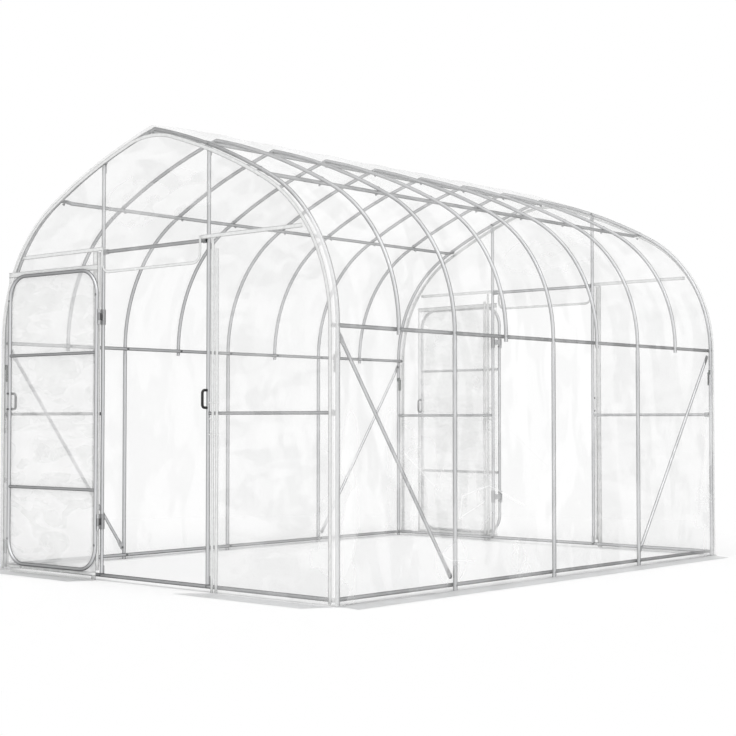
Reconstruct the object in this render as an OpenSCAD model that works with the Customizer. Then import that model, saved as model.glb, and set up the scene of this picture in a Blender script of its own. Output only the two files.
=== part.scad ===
// Walk-in tunnel greenhouse: nine pointed hoops of round steel tube under a clear film cover,
// with a hinged door in each gable. Millimetres, +Z up, the origin on the ground at the centre,
// the front gable on the -Y side.

/* [Tunnel] */
// Width between the leg centres
tunnel_w = 2440; // [2200:10:2700]
// Distance from one hoop to the next
bay_l = 408; // [330:1:480]
// Height of the straight legs, up to the side rails
leg_h = 1218; // [1000:1:1350]
// Radius of the shoulder bend, at the tube's centre
shoulder_r = 795; // [720:1:860]
// Angle that the shoulder bend turns through
shoulder_sweep = 61.5; // [58:0.5:65]
// Radius of the gentle roof bend, at the tube's centre
roof_r = 3360; // [3000:10:3700]

/* [Tubes] */
// Diameter of the hoop, post and rail tubes
tube_d = 19; // [16:0.5:22]
// Step in radius where a hoop tube pushes into the next one
swage = 0.2; // [0.1:0.05:0.5]
// How far a hoop tube reaches into the next one
swage_l = 8; // [3:1:12]
// Diameter of the lower leg tubes
leg_d = 21; // [19:0.5:24]
// Diameter of the brace and gable mid rail tubes
slim_d = 16; // [12:0.5:19]
// Diameter of the end sockets on the headers and gable rails
socket_d = 26; // [24:0.5:30]
// Length of an end socket
socket_l = 28; // [16:1:40]
// Thickness of a flattened tube end
tab_t = 3; // [2:0.5:4]
// Width of a flattened tube end
tab_w = 26; // [20:1:32]
// Length of a flattened tube end
tab_l = 38; // [30:1:50]
// Length over which a round tube narrows to its flattened end
taper_l = 32; // [20:1:50]
// How far below the shoulder bends the hoop tubes end, where they push into the legs
joint_drop = 28; // [15:1:45]
// How far a side rail reaches past the end hoops
rail_over = 11; // [0:1:20]
// How far the side rails' centres lie below the start of the shoulder bends
rail_drop = 2; // [0:1:12]
// Distance of a brace's end from the rail beside it
brace_gap = 20; // [10:1:40]
// Height of the base rails' centre line above the ground
base_z = 26; // [20:1:40]

/* [Gables] */
// Distance of the door posts' centres from the middle
post_x = 393; // [360:1:430]
// Height of the header's centre line
header_z = 1651; // [1620:1:1700]
// Height of the gable mid rails' centre line
mid_rail_z = 835; // [600:1:1000]

/* [Cover] */
// Thickness that the film is given in the solids
film_t = 2; // [1:0.5:3]
// Distance of the gable film's inner face outside the end hoops' centres
gable_out = 28; // [24:1:34]
// Distance from a door post's centre to the gable film's edge with the double hem
film_gap_wide = 47; // [32:1:77]
// Distance from a door post's centre to the gable film's edge that wraps the post
film_gap_narrow = 11; // [9:1:77]
// Height of the film flap's lower edge over the doorway
flap_z = 1538; // [1500:1:1600]
// Half the width of the film flap over the doorway
flap_x = 372; // [340:1:376]
// Radius of the film flap's lower corners
flap_r = 55; // [20:1:80]
// Width of the film skirt that lies on the ground
skirt_w = 130; // [100:5:250]
// How far a skirt's outer edge stops short of its inner edge where it narrows
skirt_taper = 60; // [20:5:120]
// How far the skirt beside the double hem widens towards the doorway
skirt_flare = 115; // [0:5:140]
// How far the side skirts widen towards the front
front_flare = 26; // [0:1:60]
// Distance of the roof purlins from the middle
purlin_x = 738; // [600:1:780]

/* [Doors] */
// Width between a door's stile centres
door_w = 694; // [640:1:700]
// Height of the door's bottom rail centre
door_bottom_z = 52; // [50:1:80]
// Height of the door's top rail centre
door_top_z = 1560; // [1500:1:1590]
// Height of the lower cross bar
bar_low_z = 453; // [380:1:600]
// Height of the upper cross bar
bar_high_z = 1142; // [1000:1:1300]
// Radius of the door's corners, at the tube's centre
door_corner_r = 120; // [60:1:160]
// Distance of the hinge pin outside the end hoops' centres
hinge_out = 50; // [48:1:60]
// Distance along the gable from the hinge pin to the stile's centre
hinge_gap = 16; // [15.5:0.5:20]
// Distance of the closed door's centre plane behind the hinge pin
hinge_set = 2; // [0:0.5:3]
// Angle of the open door off the flat gable
door_off_flat = 2.4; // [2:0.1:6]
// How far the door's film reaches past the stile and rail centres
door_film_over = 26; // [12:1:28]
// Height of the lower hinges' middles
hinge_low_z = 294; // [200:1:400]
// Height of the upper hinges' middles
hinge_high_z = 1322; // [1200:1:1400]
// Radius of the hinge pin
pin_r = 3; // [2.5:0.1:4]
// Wall of a hinge knuckle around the pin
knuckle_wall = 2.5; // [2:0.5:4]
// Length of the middle knuckle of a hinge
knuckle_l = 38; // [24:1:60]
// Length of each outer knuckle of a hinge
knuckle_end_l = 20; // [12:1:30]
// Length of a hinge's clamp on the post
clamp_l = 76; // [40:2:100]
// Height of the arm plate of a hinge
hinge_arm_h = 34; // [16:1:56]
// Gap between the knuckles of a hinge
knuckle_gap = 0.5; // [0.3:0.1:1]
// Height of the handles' middles above the ground
handle_z = 902; // [800:1:1000]
// Distance between the legs of a handle
handle_l = 82; // [70:1:120]
// Depth of a handle
handle_out = 34; // [26:1:34]
// Diameter of a handle's rod
handle_d = 13; // [8:0.5:16]
// Radius of a handle's bends, at the rod's centre
handle_bend = 14; // [10:0.5:18]

/* [Fittings] */
// Distance of the corner straps' tops below the shoulder bends
strap_drop = 118; // [60:1:200]
// Height of the loop of a corner strap
strap_h = 26; // [20:1:40]
// Length of the hanging end of a corner strap
strap_tail = 64; // [40:1:90]
// Thickness of a corner strap
strap_t = 2; // [1.5:0.5:3]
// Clearance between pieces that sit against each other
seat = 0.3; // [0.2:0.05:0.5]
// Running clearance around a hinge pin
pin_clear = 0.06; // [0.03:0.01:0.1]

/* [Hidden] */
$fn = 48;
bend_fn = 360;
bays = 8;
half_w = tunnel_w / 2;
half_l = bay_l * bays / 2;
tube_r = tube_d / 2;
roof_tube_r = tube_r - swage;
leg_r = leg_d / 2;
slim_r = slim_d / 2;
// Centres of the shoulder and roof bends on the right-hand side
shoulder_c = [half_w - shoulder_r, leg_h];
roof_c = shoulder_c - (roof_r - shoulder_r) * [cos(shoulder_sweep), sin(shoulder_sweep)];
// Direction of the peak as seen from the roof bend's centre
peak_a = acos(-roof_c[0] / roof_r);
peak_z = arch_z(0, 0);
cover_in = tube_r + seat;
cover_out = cover_in + film_t;
wall_in = leg_r + seat;
wall_out = wall_in + film_t;
gable_face = gable_out + film_t;
short_end_z = leg_h - joint_drop;
strap_z = leg_h - strap_drop;
side_rail_x = half_w - leg_r - tube_r - seat;
side_rail_z = leg_h - rail_drop;
hinge_x = -door_w / 2 - hinge_gap;
open_angle = 180 - door_off_flat;
knuckle_r = pin_r + knuckle_wall;
door_film_in = tube_r + seat;
purlin_a = roof_angle(purlin_x, 0);
brace_rise = side_rail_z - tube_r - brace_gap;
brace_foot = base_z + tube_r + brace_gap;
post_tab_w = tab_w / 2;
// Number of straight pieces that the outlines of the cover take for each bend
shoulder_steps = 60;
roof_steps = 16;
// Angle that a roof bend runs past the peak before it is cut off there
peak_over = 2;
// Thickness of the two slices that a tube's taper is stretched between
slice_t = 0.5;
// How far a cut reaches past what it cuts
cut_over = 1;

// Height of the hoop's line, grown outwards by off, at a distance x from the middle
function arch_z(x, off) =
    let (join_x = shoulder_c[0] + (shoulder_r + off) * cos(shoulder_sweep))
    x <= join_x
        ? roof_c[1] + sqrt(pow(roof_r + off, 2) - pow(x - roof_c[0], 2))
        : shoulder_c[1] + sqrt(max(0, pow(shoulder_r + off, 2) - pow(x - shoulder_c[0], 2)));

// Direction of the hoop's outward normal at a distance x from the middle
function roof_angle(x, off) =
    let (c = x <= shoulder_c[0] + (shoulder_r + off) * cos(shoulder_sweep) ? roof_c : shoulder_c)
    atan2(arch_z(x, off) - c[1], x - c[0]);

function hoop_y(i) = -half_l + bay_l * i;

// Points along an arc in n steps
function arc_points(c, r, a0, a1, n) =
    [for (i = [0 : n]) c + r * [cos(a0 + (a1 - a0) * i / n), sin(a0 + (a1 - a0) * i / n)]];

// Outline of the right-hand half of the region under the hoops, grown outwards by off
function half_arch(off) =
    let (top_a = acos(-roof_c[0] / (roof_r + off)))
    concat([[half_w + off, 0]],
        arc_points(shoulder_c, shoulder_r + off, 0, shoulder_sweep, shoulder_steps),
        arc_points(roof_c, roof_r + off, shoulder_sweep, top_a, roof_steps));
function flip(points) = [for (i = [len(points) - 1 : -1 : 0]) [-points[i][0], points[i][1]]];

module arch_region(off) {
    polygon(concat(half_arch(off), flip(half_arch(off))));
}

// A flat shape in the gable's plane, from y0 to y1
module gable_plate(y0, y1) {
    translate([0, y1, 0]) rotate([90, 0, 0]) linear_extrude(y1 - y0) children();
}

// The profile in children() swept around a bend whose axis lies along Y
module bend(c, a0, a1) {
    translate([c[0], 0, c[1]]) rotate([90, 0, 0]) rotate([0, 0, a0])
        rotate_extrude(angle = a1 - a0, $fn = bend_fn) children();
}

module mirrored(side) {
    if (side < 0) mirror([1, 0, 0]) children();
    else children();
}

module rod(p, q, r) {
    d = q - p;
    len_d = norm(d);
    translate(p) rotate([0, acos(d[2] / len_d), atan2(d[1], d[0])]) cylinder(h = len_d, r = r);
}

// Tube along +Z from 0 to l with flattened ends, each shifted towards +X by shift
module flat_end_tube(l, r, shift, ends = [1, 1]) {
    low = ends[0] * (tab_l + taper_l);
    high = l - ends[1] * (tab_l + taper_l);
    translate([0, 0, low]) cylinder(h = high - low, r = r);
    if (ends[0] > 0) flat_end(r, shift, 0, 1);
    if (ends[1] > 0) flat_end(r, shift, l, -1);
}

// One flattened end: a rounded tab and the taper that joins it to the tube
module flat_end(r, shift, z, way) {
    tab_x = shift - tab_t / 2;
    translate([0, 0, z]) mirrored_z(way) {
        translate([tab_x, -tab_w / 2, tab_w / 2]) cube([tab_t, tab_w, tab_l - tab_w / 2]);
        translate([tab_x, 0, tab_w / 2]) rotate([0, 90, 0]) cylinder(h = tab_t, r = tab_w / 2);
        hull() {
            translate([tab_x, -tab_w / 2, tab_l - slice_t]) cube([tab_t, tab_w, slice_t]);
            translate([0, 0, tab_l + taper_l - slice_t]) cylinder(h = slice_t, r = r, $fn = 32);
        }
    }
}

module mirrored_z(way) {
    if (way < 0) mirror([0, 0, 1]) children();
    else children();
}

// Angle of an arc of this length and radius
function arc_angle(l, r) = l / r * 180 / PI;

// One half of a hoop: its straight lower end, the shoulder bend and the roof bend, each reaching
// a little way into the wider tube before it
module hoop_half() {
    translate([half_w, 0, short_end_z]) cylinder(h = leg_h - short_end_z, r = tube_r + swage);
    bend(shoulder_c, -arc_angle(swage_l, shoulder_r), shoulder_sweep)
        translate([shoulder_r, 0]) circle(r = tube_r);
    intersection() {
        bend(roof_c, shoulder_sweep - arc_angle(swage_l, roof_r), peak_a + peak_over)
            translate([roof_r, 0]) circle(r = roof_tube_r);
        translate([seat / 2, -tube_d, 0]) cube([half_w, 2 * tube_d, peak_z * 2]);
    }
}

module hoop(i) {
    color("silver") translate([0, hoop_y(i), 0]) {
        for (side = [-1, 1]) mirrored(side) {
            hoop_half();
            if (i % 2 == 0)
                translate([half_w, 0, 0]) cylinder(h = short_end_z - seat, r = leg_r);
        }
    }
}

// Straight tube under the peaks of all hoops
module ridge_beam() {
    drop = roof_tube_r / sin(peak_a) + seat + tube_r;
    color("silver") translate([0, half_l + tube_r, peak_z - drop]) rotate([90, 0, 0])
        cylinder(h = 2 * (half_l + tube_r), r = tube_r);
}

module roof_purlin(side) {
    drop = roof_tube_r + seat + tube_r;
    color("silver") mirrored(side)
        translate([purlin_x - drop * cos(purlin_a), 0, arch_z(purlin_x, 0) - drop * sin(purlin_a)])
            rotate([0, 90 - purlin_a, 0]) rotate([-90, 0, 0]) translate([0, 0, -half_l - tab_w / 2])
                rotate([0, 0, -90]) flat_end_tube(2 * half_l + tab_w, tube_r, tube_r - tab_t / 2);
}

module side_rail(side) {
    color("silver") mirrored(side)
        translate([side_rail_x, half_l + rail_over, side_rail_z]) rotate([90, 0, 0])
            cylinder(h = 2 * (half_l + rail_over), r = tube_r);
}

module side_base_rail(side) {
    run = half_l - tube_r - seat;
    color("silver") mirrored(side)
        translate([side_rail_x, run, base_z]) rotate([90, 0, 0]) cylinder(h = 2 * run, r = tube_r);
}

module gable_base_rail(end) {
    run = half_w - leg_r - seat;
    color("silver") translate([-run, end * half_l, base_z]) rotate([0, 90, 0])
        cylinder(h = 2 * run, r = tube_r);
}

// One brace in the first or last bays of a side wall, from the side rail down to the base rail
module side_brace(end) {
    tab_x = half_w - leg_r - seat - tab_t / 2;
    top = [tab_x, end * (half_l - tab_w / 2 - tube_r), brace_rise - tab_w / 2];
    foot = [tab_x, end * (half_l - 2 * bay_l + tab_w / 2 + tube_r), brace_foot + tab_w / 2];
    run = top - foot;
    lean = atan2(run[1], run[2]);
    translate(foot) rotate([-lean, 0, 0]) translate([0, 0, -tab_w / 2])
        flat_end_tube(norm(run) + tab_w, slim_r, 0);
}

module side_braces(side) {
    color("silver") mirrored(side) for (end = [-1, 1]) side_brace(end);
}

// Door post between the base rail and the hoop, with a flattened end on the inner side at each
module door_post(end, side) {
    inner = -end * (tube_r + seat + tab_t / 2);
    tab_top = arch_z(post_x + post_tab_w / 2, tube_r);
    foot_z = base_z + tube_r + seat;
    top_z = arch_z(post_x + tube_r, 0) - tube_r / sin(purlin_a) - seat;
    translate([side * post_x, end * half_l, 0]) {
        translate([0, 0, foot_z]) cylinder(h = top_z - foot_z, r = tube_r);
        translate([-post_tab_w / 2, inner - tab_t / 2, top_z - tab_l])
            cube([post_tab_w, tab_t, tab_top - top_z + tab_l]);
        translate([-post_tab_w / 2, inner - tab_t / 2, base_z - tube_r / 2])
            cube([post_tab_w, tab_t, foot_z - base_z + tube_r / 2 + tab_l]);
        for (z = [top_z - tab_l, foot_z]) translate([-post_tab_w / 2, min(0, inner), z])
            cube([post_tab_w, abs(inner), tab_l]);
    }
}

module door_posts(end) {
    color("silver") for (side = [-1, 1]) door_post(end, side);
}

// Rail between two uprights, with a larger socket at the ends named in ends
module socket_rail(x0, x1, z, r, end, ends) {
    translate([0, end * half_l, z]) {
        translate([x0, 0, 0]) rotate([0, 90, 0]) cylinder(h = x1 - x0, r = r);
        if (ends[0]) translate([x0, 0, 0]) rotate([0, 90, 0]) cylinder(h = socket_l, r = socket_d / 2);
        if (ends[1]) translate([x1 - socket_l, 0, 0]) rotate([0, 90, 0])
            cylinder(h = socket_l, r = socket_d / 2);
    }
}

module header(end) {
    run = post_x - tube_r - seat;
    color("silver") socket_rail(-run, run, header_z, tube_r, end, [true, true]);
}

module mid_rails(end) {
    color("silver") for (side = [-1, 1]) mirrored(side)
        socket_rail(post_x + tube_r + seat, half_w - leg_r - seat, mid_rail_z, slim_r, end,
            [false, true]);
}

module wall_film(side) {
    color("whitesmoke", 0.5) mirrored(side)
        translate([half_w + wall_in, -half_l - gable_out + seat, 0])
            cube([film_t, 2 * (half_l + gable_out - seat), leg_h - seat]);
}

module roof_film(side) {
    run = half_l + gable_face;
    color("whitesmoke", 0.5) mirrored(side) gable_plate(-run, run) intersection() {
        difference() {
            arch_region(cover_out);
            arch_region(cover_in);
        }
        translate([seat / 2, leg_h]) square([tunnel_w, peak_z]);
    }
}

// Distance from the middle to the gable film's doorway edge; the rear film is the front one turned
function film_edge(side, end) = post_x + (side * end > 0 ? film_gap_narrow : film_gap_wide);

// Gable film on both sides of the doorway, up to the seam at header height
module side_panels(end) {
    y0 = end > 0 ? half_l + gable_out : -half_l - gable_face;
    color("whitesmoke", 0.5) for (side = [-1, 1]) mirrored(side)
        gable_plate(y0, y0 + film_t) intersection() {
            arch_region(cover_in - seat);
            translate([film_edge(side, end), 0]) square([half_w, header_z - seat]);
        }
}

// Gable film above the seam, with the flap that hangs over the doorway
module top_panel(end) {
    y0 = end > 0 ? half_l + gable_out : -half_l - gable_face;
    color("whitesmoke", 0.5) gable_plate(y0, y0 + film_t) {
        intersection() {
            arch_region(cover_in - seat);
            translate([-half_w, header_z]) square([tunnel_w, peak_z]);
        }
        translate([-flap_x, flap_z + flap_r]) square([2 * flap_x, header_z - flap_z - flap_r]);
        translate([-flap_x + flap_r, flap_z]) square([2 * (flap_x - flap_r), flap_r]);
        for (side = [-1, 1]) translate([side * (flap_x - flap_r), flap_z + flap_r])
            circle(r = flap_r);
    }
}

// A skirt with its inner edge on y = 0 from x0 to x1, whose outer edge reaches further by grow0 and
// grow1 at its ends, or stops short where they are negative
module skirt(x0, x1, grow0, grow1) {
    linear_extrude(film_t) polygon([[x0, 0], [x1, 0], [x1 + grow1, skirt_w], [x0 - grow0, skirt_w]]);
}

module ground_skirts() {
    side_x = half_w + wall_out;
    gable_y = half_l + gable_face;
    color("whitesmoke", 0.5) {
        for (side = [-1, 1]) mirrored(side)
            translate([side_x, 0, 0]) rotate([0, 0, -90])
                skirt(-half_l, half_l, -skirt_taper, front_flare);
        for (side = [-1, 1], end = [-1, 1]) mirrored(side)
            translate([0, end * gable_y, 0]) mirror([0, end < 0 ? 1 : 0, 0])
                skirt(film_edge(side, end), half_w, side * end > 0 ? -skirt_taper : skirt_flare,
                    -skirt_taper);
    }
}

// Strap around the inner side of a corner leg, with its end hanging down
module corner_strap(end) {
    y = end * half_l;
    loop_in = leg_r + seat;
    loop_out = loop_in + strap_t;
    translate([half_w, y, strap_z - strap_h]) {
        difference() {
            cylinder(h = strap_h, r = loop_out);
            translate([0, 0, -cut_over]) cylinder(h = strap_h + 2 * cut_over, r = loop_in);
            translate([leg_r / 2, -loop_out, -cut_over])
                cube([2 * loop_out, 2 * loop_out, strap_h + 2 * cut_over]);
        }
        translate([-loop_out, -strap_h / 2, -strap_tail])
            cube([strap_t, strap_h, strap_tail + strap_h / 2]);
    }
}

module corner_straps() {
    color("dimgray") for (side = [-1, 1], end = [-1, 1]) mirrored(side) corner_strap(end);
}

// Fixed half of a hinge: a clamp round the post, an arm, the middle knuckle and the pin
module hinge_bracket(z) {
    arm = [hinge_x + post_x, -hinge_out];
    clamp_in = tube_r + seat;
    clamp_out = clamp_in + tab_t;
    translate([-post_x, -half_l, z]) {
        difference() {
            union() {
                translate([0, 0, -clamp_l / 2]) cylinder(h = clamp_l, r = clamp_out);
                rotate([0, 0, atan2(arm[1], arm[0])])
                    translate([0, -tab_t / 2, -hinge_arm_h / 2]) cube([norm(arm), tab_t, hinge_arm_h]);
            }
            translate([0, 0, -clamp_l]) cylinder(h = 2 * clamp_l, r = clamp_in);
        }
        translate([arm[0], arm[1], -knuckle_l / 2]) cylinder(h = knuckle_l, r = knuckle_r);
        translate([arm[0], arm[1], -knuckle_l / 2 - knuckle_end_l])
            cylinder(h = knuckle_l + 2 * knuckle_end_l, r = pin_r);
    }
}

module hinge_brackets(end) {
    color("gray") at_gable(end) for (z = [hinge_low_z, hinge_high_z]) hinge_bracket(z);
}

// Moving half of a hinge: the outer knuckles and the plates that join them to the stile
module hinge_leaf(z) {
    for (way = [-1, 1]) translate([hinge_x, -half_l - hinge_out, z]) mirrored_z(way)
        translate([0, 0, knuckle_l / 2 + knuckle_gap]) difference() {
            union() {
                cylinder(h = knuckle_end_l - knuckle_gap, r = knuckle_r);
                translate([0, hinge_set / 2 - tab_t / 2, 0])
                    cube([hinge_gap, tab_t, knuckle_end_l - knuckle_gap]);
            }
            translate([0, 0, -cut_over])
                cylinder(h = knuckle_end_l + 2 * cut_over, r = pin_r + pin_clear);
        }
}

// Places a front gable piece at the front, or mirrored at the rear
module at_gable(end) {
    if (end < 0) children();
    else mirror([0, 1, 0]) children();
}

// Turns a door's closed shape about its hinge pin to the open rest position
module door_open(end) {
    at_gable(end) translate([hinge_x, -half_l - hinge_out, 0]) rotate([0, 0, -open_angle])
        translate([-hinge_x, half_l + hinge_out, 0]) children();
}

module door_corner(x, z, a) {
    translate([x, 0, z]) rotate([90, 0, 0]) rotate([0, 0, a])
        rotate_extrude(angle = 90) translate([door_corner_r, 0]) circle(r = tube_r);
}

// Closed door leaf: a round-cornered tube frame with two cross bars
module door_frame(end) {
    x = door_w / 2;
    cx = x - door_corner_r;
    low = door_bottom_z + door_corner_r;
    high = door_top_z - door_corner_r;
    color("silver") door_open(end) {
        translate([0, -half_l - hinge_out + hinge_set, 0]) {
            for (side = [-1, 1]) translate([side * x, 0, low]) cylinder(h = high - low, r = tube_r);
            for (z = [door_bottom_z, door_top_z]) rod([-cx, 0, z], [cx, 0, z], tube_r);
            for (z = [bar_low_z, bar_high_z]) rod([-x, 0, z], [x, 0, z], slim_r);
            door_corner(cx, high, 0);
            door_corner(-cx, high, 90);
            door_corner(-cx, low, 180);
            door_corner(cx, low, 270);
        }
        for (z = [hinge_low_z, hinge_high_z]) hinge_leaf(z);
    }
}

module door_film(end) {
    x = door_w / 2 + door_film_over;
    y = -half_l - hinge_out + hinge_set - door_film_in;
    color("whitesmoke", 0.5) door_open(end)
        translate([-door_w / 2 + tube_r, y - film_t, door_bottom_z - door_film_over])
            cube([x + door_w / 2 - tube_r, film_t, door_top_z - door_bottom_z + 2 * door_film_over]);
}

// D-shaped handle with rounded corners on the outer side of an upright at x, whose outer surface
// lies at y
module handle(x, y) {
    reach = handle_out - handle_d / 2;
    run = reach - handle_bend;
    straight = handle_l / 2 - handle_bend;
    translate([x, y, handle_z]) {
        for (way = [-1, 1]) mirrored_z(way) {
            rod([0, 0, handle_l / 2], [0, -run, handle_l / 2], handle_d / 2);
            translate([0, -run, straight]) rotate([90, 0, -90]) rotate_extrude(angle = 90)
                translate([handle_bend, 0]) circle(r = handle_d / 2);
        }
        rod([0, -reach, -straight], [0, -reach, straight], handle_d / 2);
    }
}

module post_handles() {
    color("black") for (end = [-1, 1]) at_gable(end) handle(post_x, -half_l - tube_r - seat);
}

module door_handle(end) {
    color("gray") door_open(end)
        handle(door_w / 2, -half_l - hinge_out + hinge_set - door_film_in - film_t - seat);
}

hoop(0);  // hoop_1
hoop(1);  // hoop_2
hoop(2);  // hoop_3
hoop(3);  // hoop_4
hoop(4);  // hoop_5
hoop(5);  // hoop_6
hoop(6);  // hoop_7
hoop(7);  // hoop_8
hoop(8);  // hoop_9
ridge_beam();
roof_purlin(-1);  // left_roof_purlin
roof_purlin(1);  // right_roof_purlin
side_rail(-1);  // left_side_rail
side_rail(1);  // right_side_rail
side_base_rail(-1);  // left_base_rail
side_base_rail(1);  // right_base_rail
gable_base_rail(-1);  // front_base_rail
gable_base_rail(1);  // rear_base_rail
side_braces(-1);  // left_side_braces
side_braces(1);  // right_side_braces
door_posts(-1);  // front_door_posts
door_posts(1);  // rear_door_posts
header(-1);  // front_header
header(1);  // rear_header
mid_rails(-1);  // front_mid_rails
mid_rails(1);  // rear_mid_rails
wall_film(-1);  // left_wall_film
wall_film(1);  // right_wall_film
roof_film(-1);  // left_roof_film
roof_film(1);  // right_roof_film
side_panels(-1);  // front_side_panels
side_panels(1);  // rear_side_panels
top_panel(-1);  // front_top_panel
top_panel(1);  // rear_top_panel
ground_skirts();
corner_straps();
hinge_brackets(-1);  // front_hinge_brackets
hinge_brackets(1);  // rear_hinge_brackets
post_handles();
door_frame(-1);  // front_door_frame
door_frame(1);  // rear_door_frame
door_film(-1);  // front_door_film
door_film(1);  // rear_door_film
door_handle(-1);  // front_door_handle
door_handle(1);  // rear_door_handle
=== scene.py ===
"""Looks for a walk-in tunnel greenhouse: creased clear film, hems, fasteners and finishes on its frame."""

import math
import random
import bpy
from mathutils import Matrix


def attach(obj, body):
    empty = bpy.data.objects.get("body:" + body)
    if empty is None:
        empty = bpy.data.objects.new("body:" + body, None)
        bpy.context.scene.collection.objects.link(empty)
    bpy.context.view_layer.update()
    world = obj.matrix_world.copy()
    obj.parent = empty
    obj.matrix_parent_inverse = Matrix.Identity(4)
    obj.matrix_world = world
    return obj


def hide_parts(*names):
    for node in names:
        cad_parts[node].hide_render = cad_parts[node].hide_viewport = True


bl_info = {
    "name": "Tunnel Greenhouse",
    "version": (1, 0, 0),
    "blender": (4, 5, 0),
    "location": "View3D > Sidebar > Greenhouse",
    "description": "Builds the film, hems, fasteners and finishes of a walk-in tunnel greenhouse",
    "category": "Add Mesh",
}

import bmesh
import bpy
from mathutils import Matrix, Vector, noise

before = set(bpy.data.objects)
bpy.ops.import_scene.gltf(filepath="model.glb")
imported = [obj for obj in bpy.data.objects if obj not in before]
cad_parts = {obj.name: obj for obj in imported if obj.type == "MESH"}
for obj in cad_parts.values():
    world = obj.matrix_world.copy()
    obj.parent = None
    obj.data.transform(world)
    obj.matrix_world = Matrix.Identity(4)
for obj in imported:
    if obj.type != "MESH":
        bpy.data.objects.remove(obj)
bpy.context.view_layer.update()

# Sizes in metres, as in the solids
HALF_W = 1.220
HALF_L = 1.632
BAY = 0.408
LEG_H = 1.218
SHOULDER_R = 0.795
SWEEP = math.radians(61.5)
ROOF_R = 3.360
TUBE_R = 0.0095
LEG_R = 0.0105
COVER_OUT = 0.0118
WALL_OUT = 0.0128
GABLE_FACE = 0.030
SKIRT = 0.130
SKIRT_TAPER = 0.060
SKIRT_FLARE = 0.115
FRONT_FLARE = 0.026
POST_X = 0.393
HEADER_Z = 1.651
WIDE_EDGE_X = 0.440
NARROW_EDGE_X = 0.404
FLAP_X = 0.372
FLAP_Z = 1.538
FLAP_R = 0.055
DOOR_W = 0.694
DOOR_LOW = 0.052
DOOR_HIGH = 1.560
DOOR_BARS = (0.453, 1.142)
DOOR_OVER = 0.026
HINGE_X = -0.363
HINGE_OUT = 0.050
HINGE_SET = 0.002
OPEN_ANGLE = math.radians(177.6)
HINGE_Z = (0.294, 1.322)
RAIL_X = 1.1997
RAIL_Z = 1.216
BASE_Z = 0.026
PURLIN_X = 0.738
MID_RAIL_Z = 0.835
HANDLE_Z = 0.902
HANDLE_L = 0.082
# The solids' gaps between touching tubes, and the braces' end tabs
SEAT_GAP = 0.0003
TAB_THICK = 0.003
TAB_DROP = 0.020
BRACE_END = 0.013
# The cover's bend round an end hoop and how far it runs on behind it
COVER_CORNER = 0.013
COVER_INNER = 0.022
# Foot of the cover: the height where it turns out to the skirt
SKIRT_TURN = 0.012
# Hems and seams
HEM_THICK = 0.0012
SEAM_WIDE = 0.019
SEAM_OVER = 0.012
SEAM_END_X = 1.035
ARCH_HEM_IN = 0.018
ARCH_HEM_ROUND_X = 0.165
TIE_HEIGHTS = (0.884, 0.808, 0.737)
TIE_WIDE = 0.006
DOOR_HEM_THICK = 0.0009
SHOULDER_C = (HALF_W - SHOULDER_R, LEG_H)
ROOF_C = (
    SHOULDER_C[0] - (ROOF_R - SHOULDER_R) * math.cos(SWEEP),
    SHOULDER_C[1] - (ROOF_R - SHOULDER_R) * math.sin(SWEEP),
)
PEAK_A = math.acos(-ROOF_C[0] / ROOF_R)
ROOF_LEN = ROOF_R * (PEAK_A - SWEEP)
SHOULDER_LEN = SHOULDER_R * SWEEP
ARCH_LEN = ROOF_LEN + SHOULDER_LEN + LEG_H
PEAK_Z = ROOF_C[1] + ROOF_R * math.sin(PEAK_A)
# Strength of the light that comes from all round
ROOM_LIGHT = 0.55
# Each lamp's name, place, strength and spread in degrees
LAMPS = (("overhead light", (1.2, -2.0, 6.0), 1.15, 60.0), ("side light", (5.5, -1.5, 4.0), 0.75, 45.0))
# The camera's place, how far it looks up and turns, and its lens
CAMERA_AT = (5.643, -6.410, 0.803)
CAMERA_UP = 0.0346
CAMERA_TURN = 0.7267
CAMERA_LENS = 73.60
# Where the floor starts to turn into the backdrop and where it has, from the middle
FLOOR_FADE = (2.3, 4.2)
# Where the wide folds of the right-hand wall lie: height, distance along the wall and size
WALL_FOLDS = ((0.405, -0.650, 0.26), (0.560, -1.080, 0.30), (0.150, -0.860, 0.20), (0.110, -0.316, 0.16))
# Creases of the right-hand wall, each from and to a distance along the wall and a height, with its strength
WALL_CREASES = (
    ((-0.793, 0.334), (-0.768, 0.441), 1.0), ((-0.768, 0.441), (-0.553, 0.479), 1.0),
    ((-0.553, 0.479), (-0.268, 0.374), 1.0), ((-0.793, 0.334), (-0.594, 0.404), 1.0),
    ((-1.197, 0.653), (-0.945, 0.469), 0.8), ((-0.946, 0.186), (-0.857, 0.138), 0.9),
    ((-0.857, 0.138), (-0.680, 0.126), 0.9), ((-0.676, 0.917), (-0.079, 0.570), 0.45),
    ((0.194, 0.777), (0.304, 0.473), 0.45), ((0.501, 0.390), (0.763, 0.039), 0.45),
)

FRAME_TUBES = [f"hoop_{i}" for i in range(1, 10)] + [
    "ridge_beam", "left_roof_purlin", "right_roof_purlin", "left_side_rail", "right_side_rail",
    "left_base_rail", "right_base_rail", "front_base_rail", "rear_base_rail",
    "left_side_braces", "right_side_braces", "front_door_posts", "rear_door_posts",
    "front_header", "rear_header", "front_mid_rails", "rear_mid_rails",
    "front_door_frame", "rear_door_frame",
]


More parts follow.
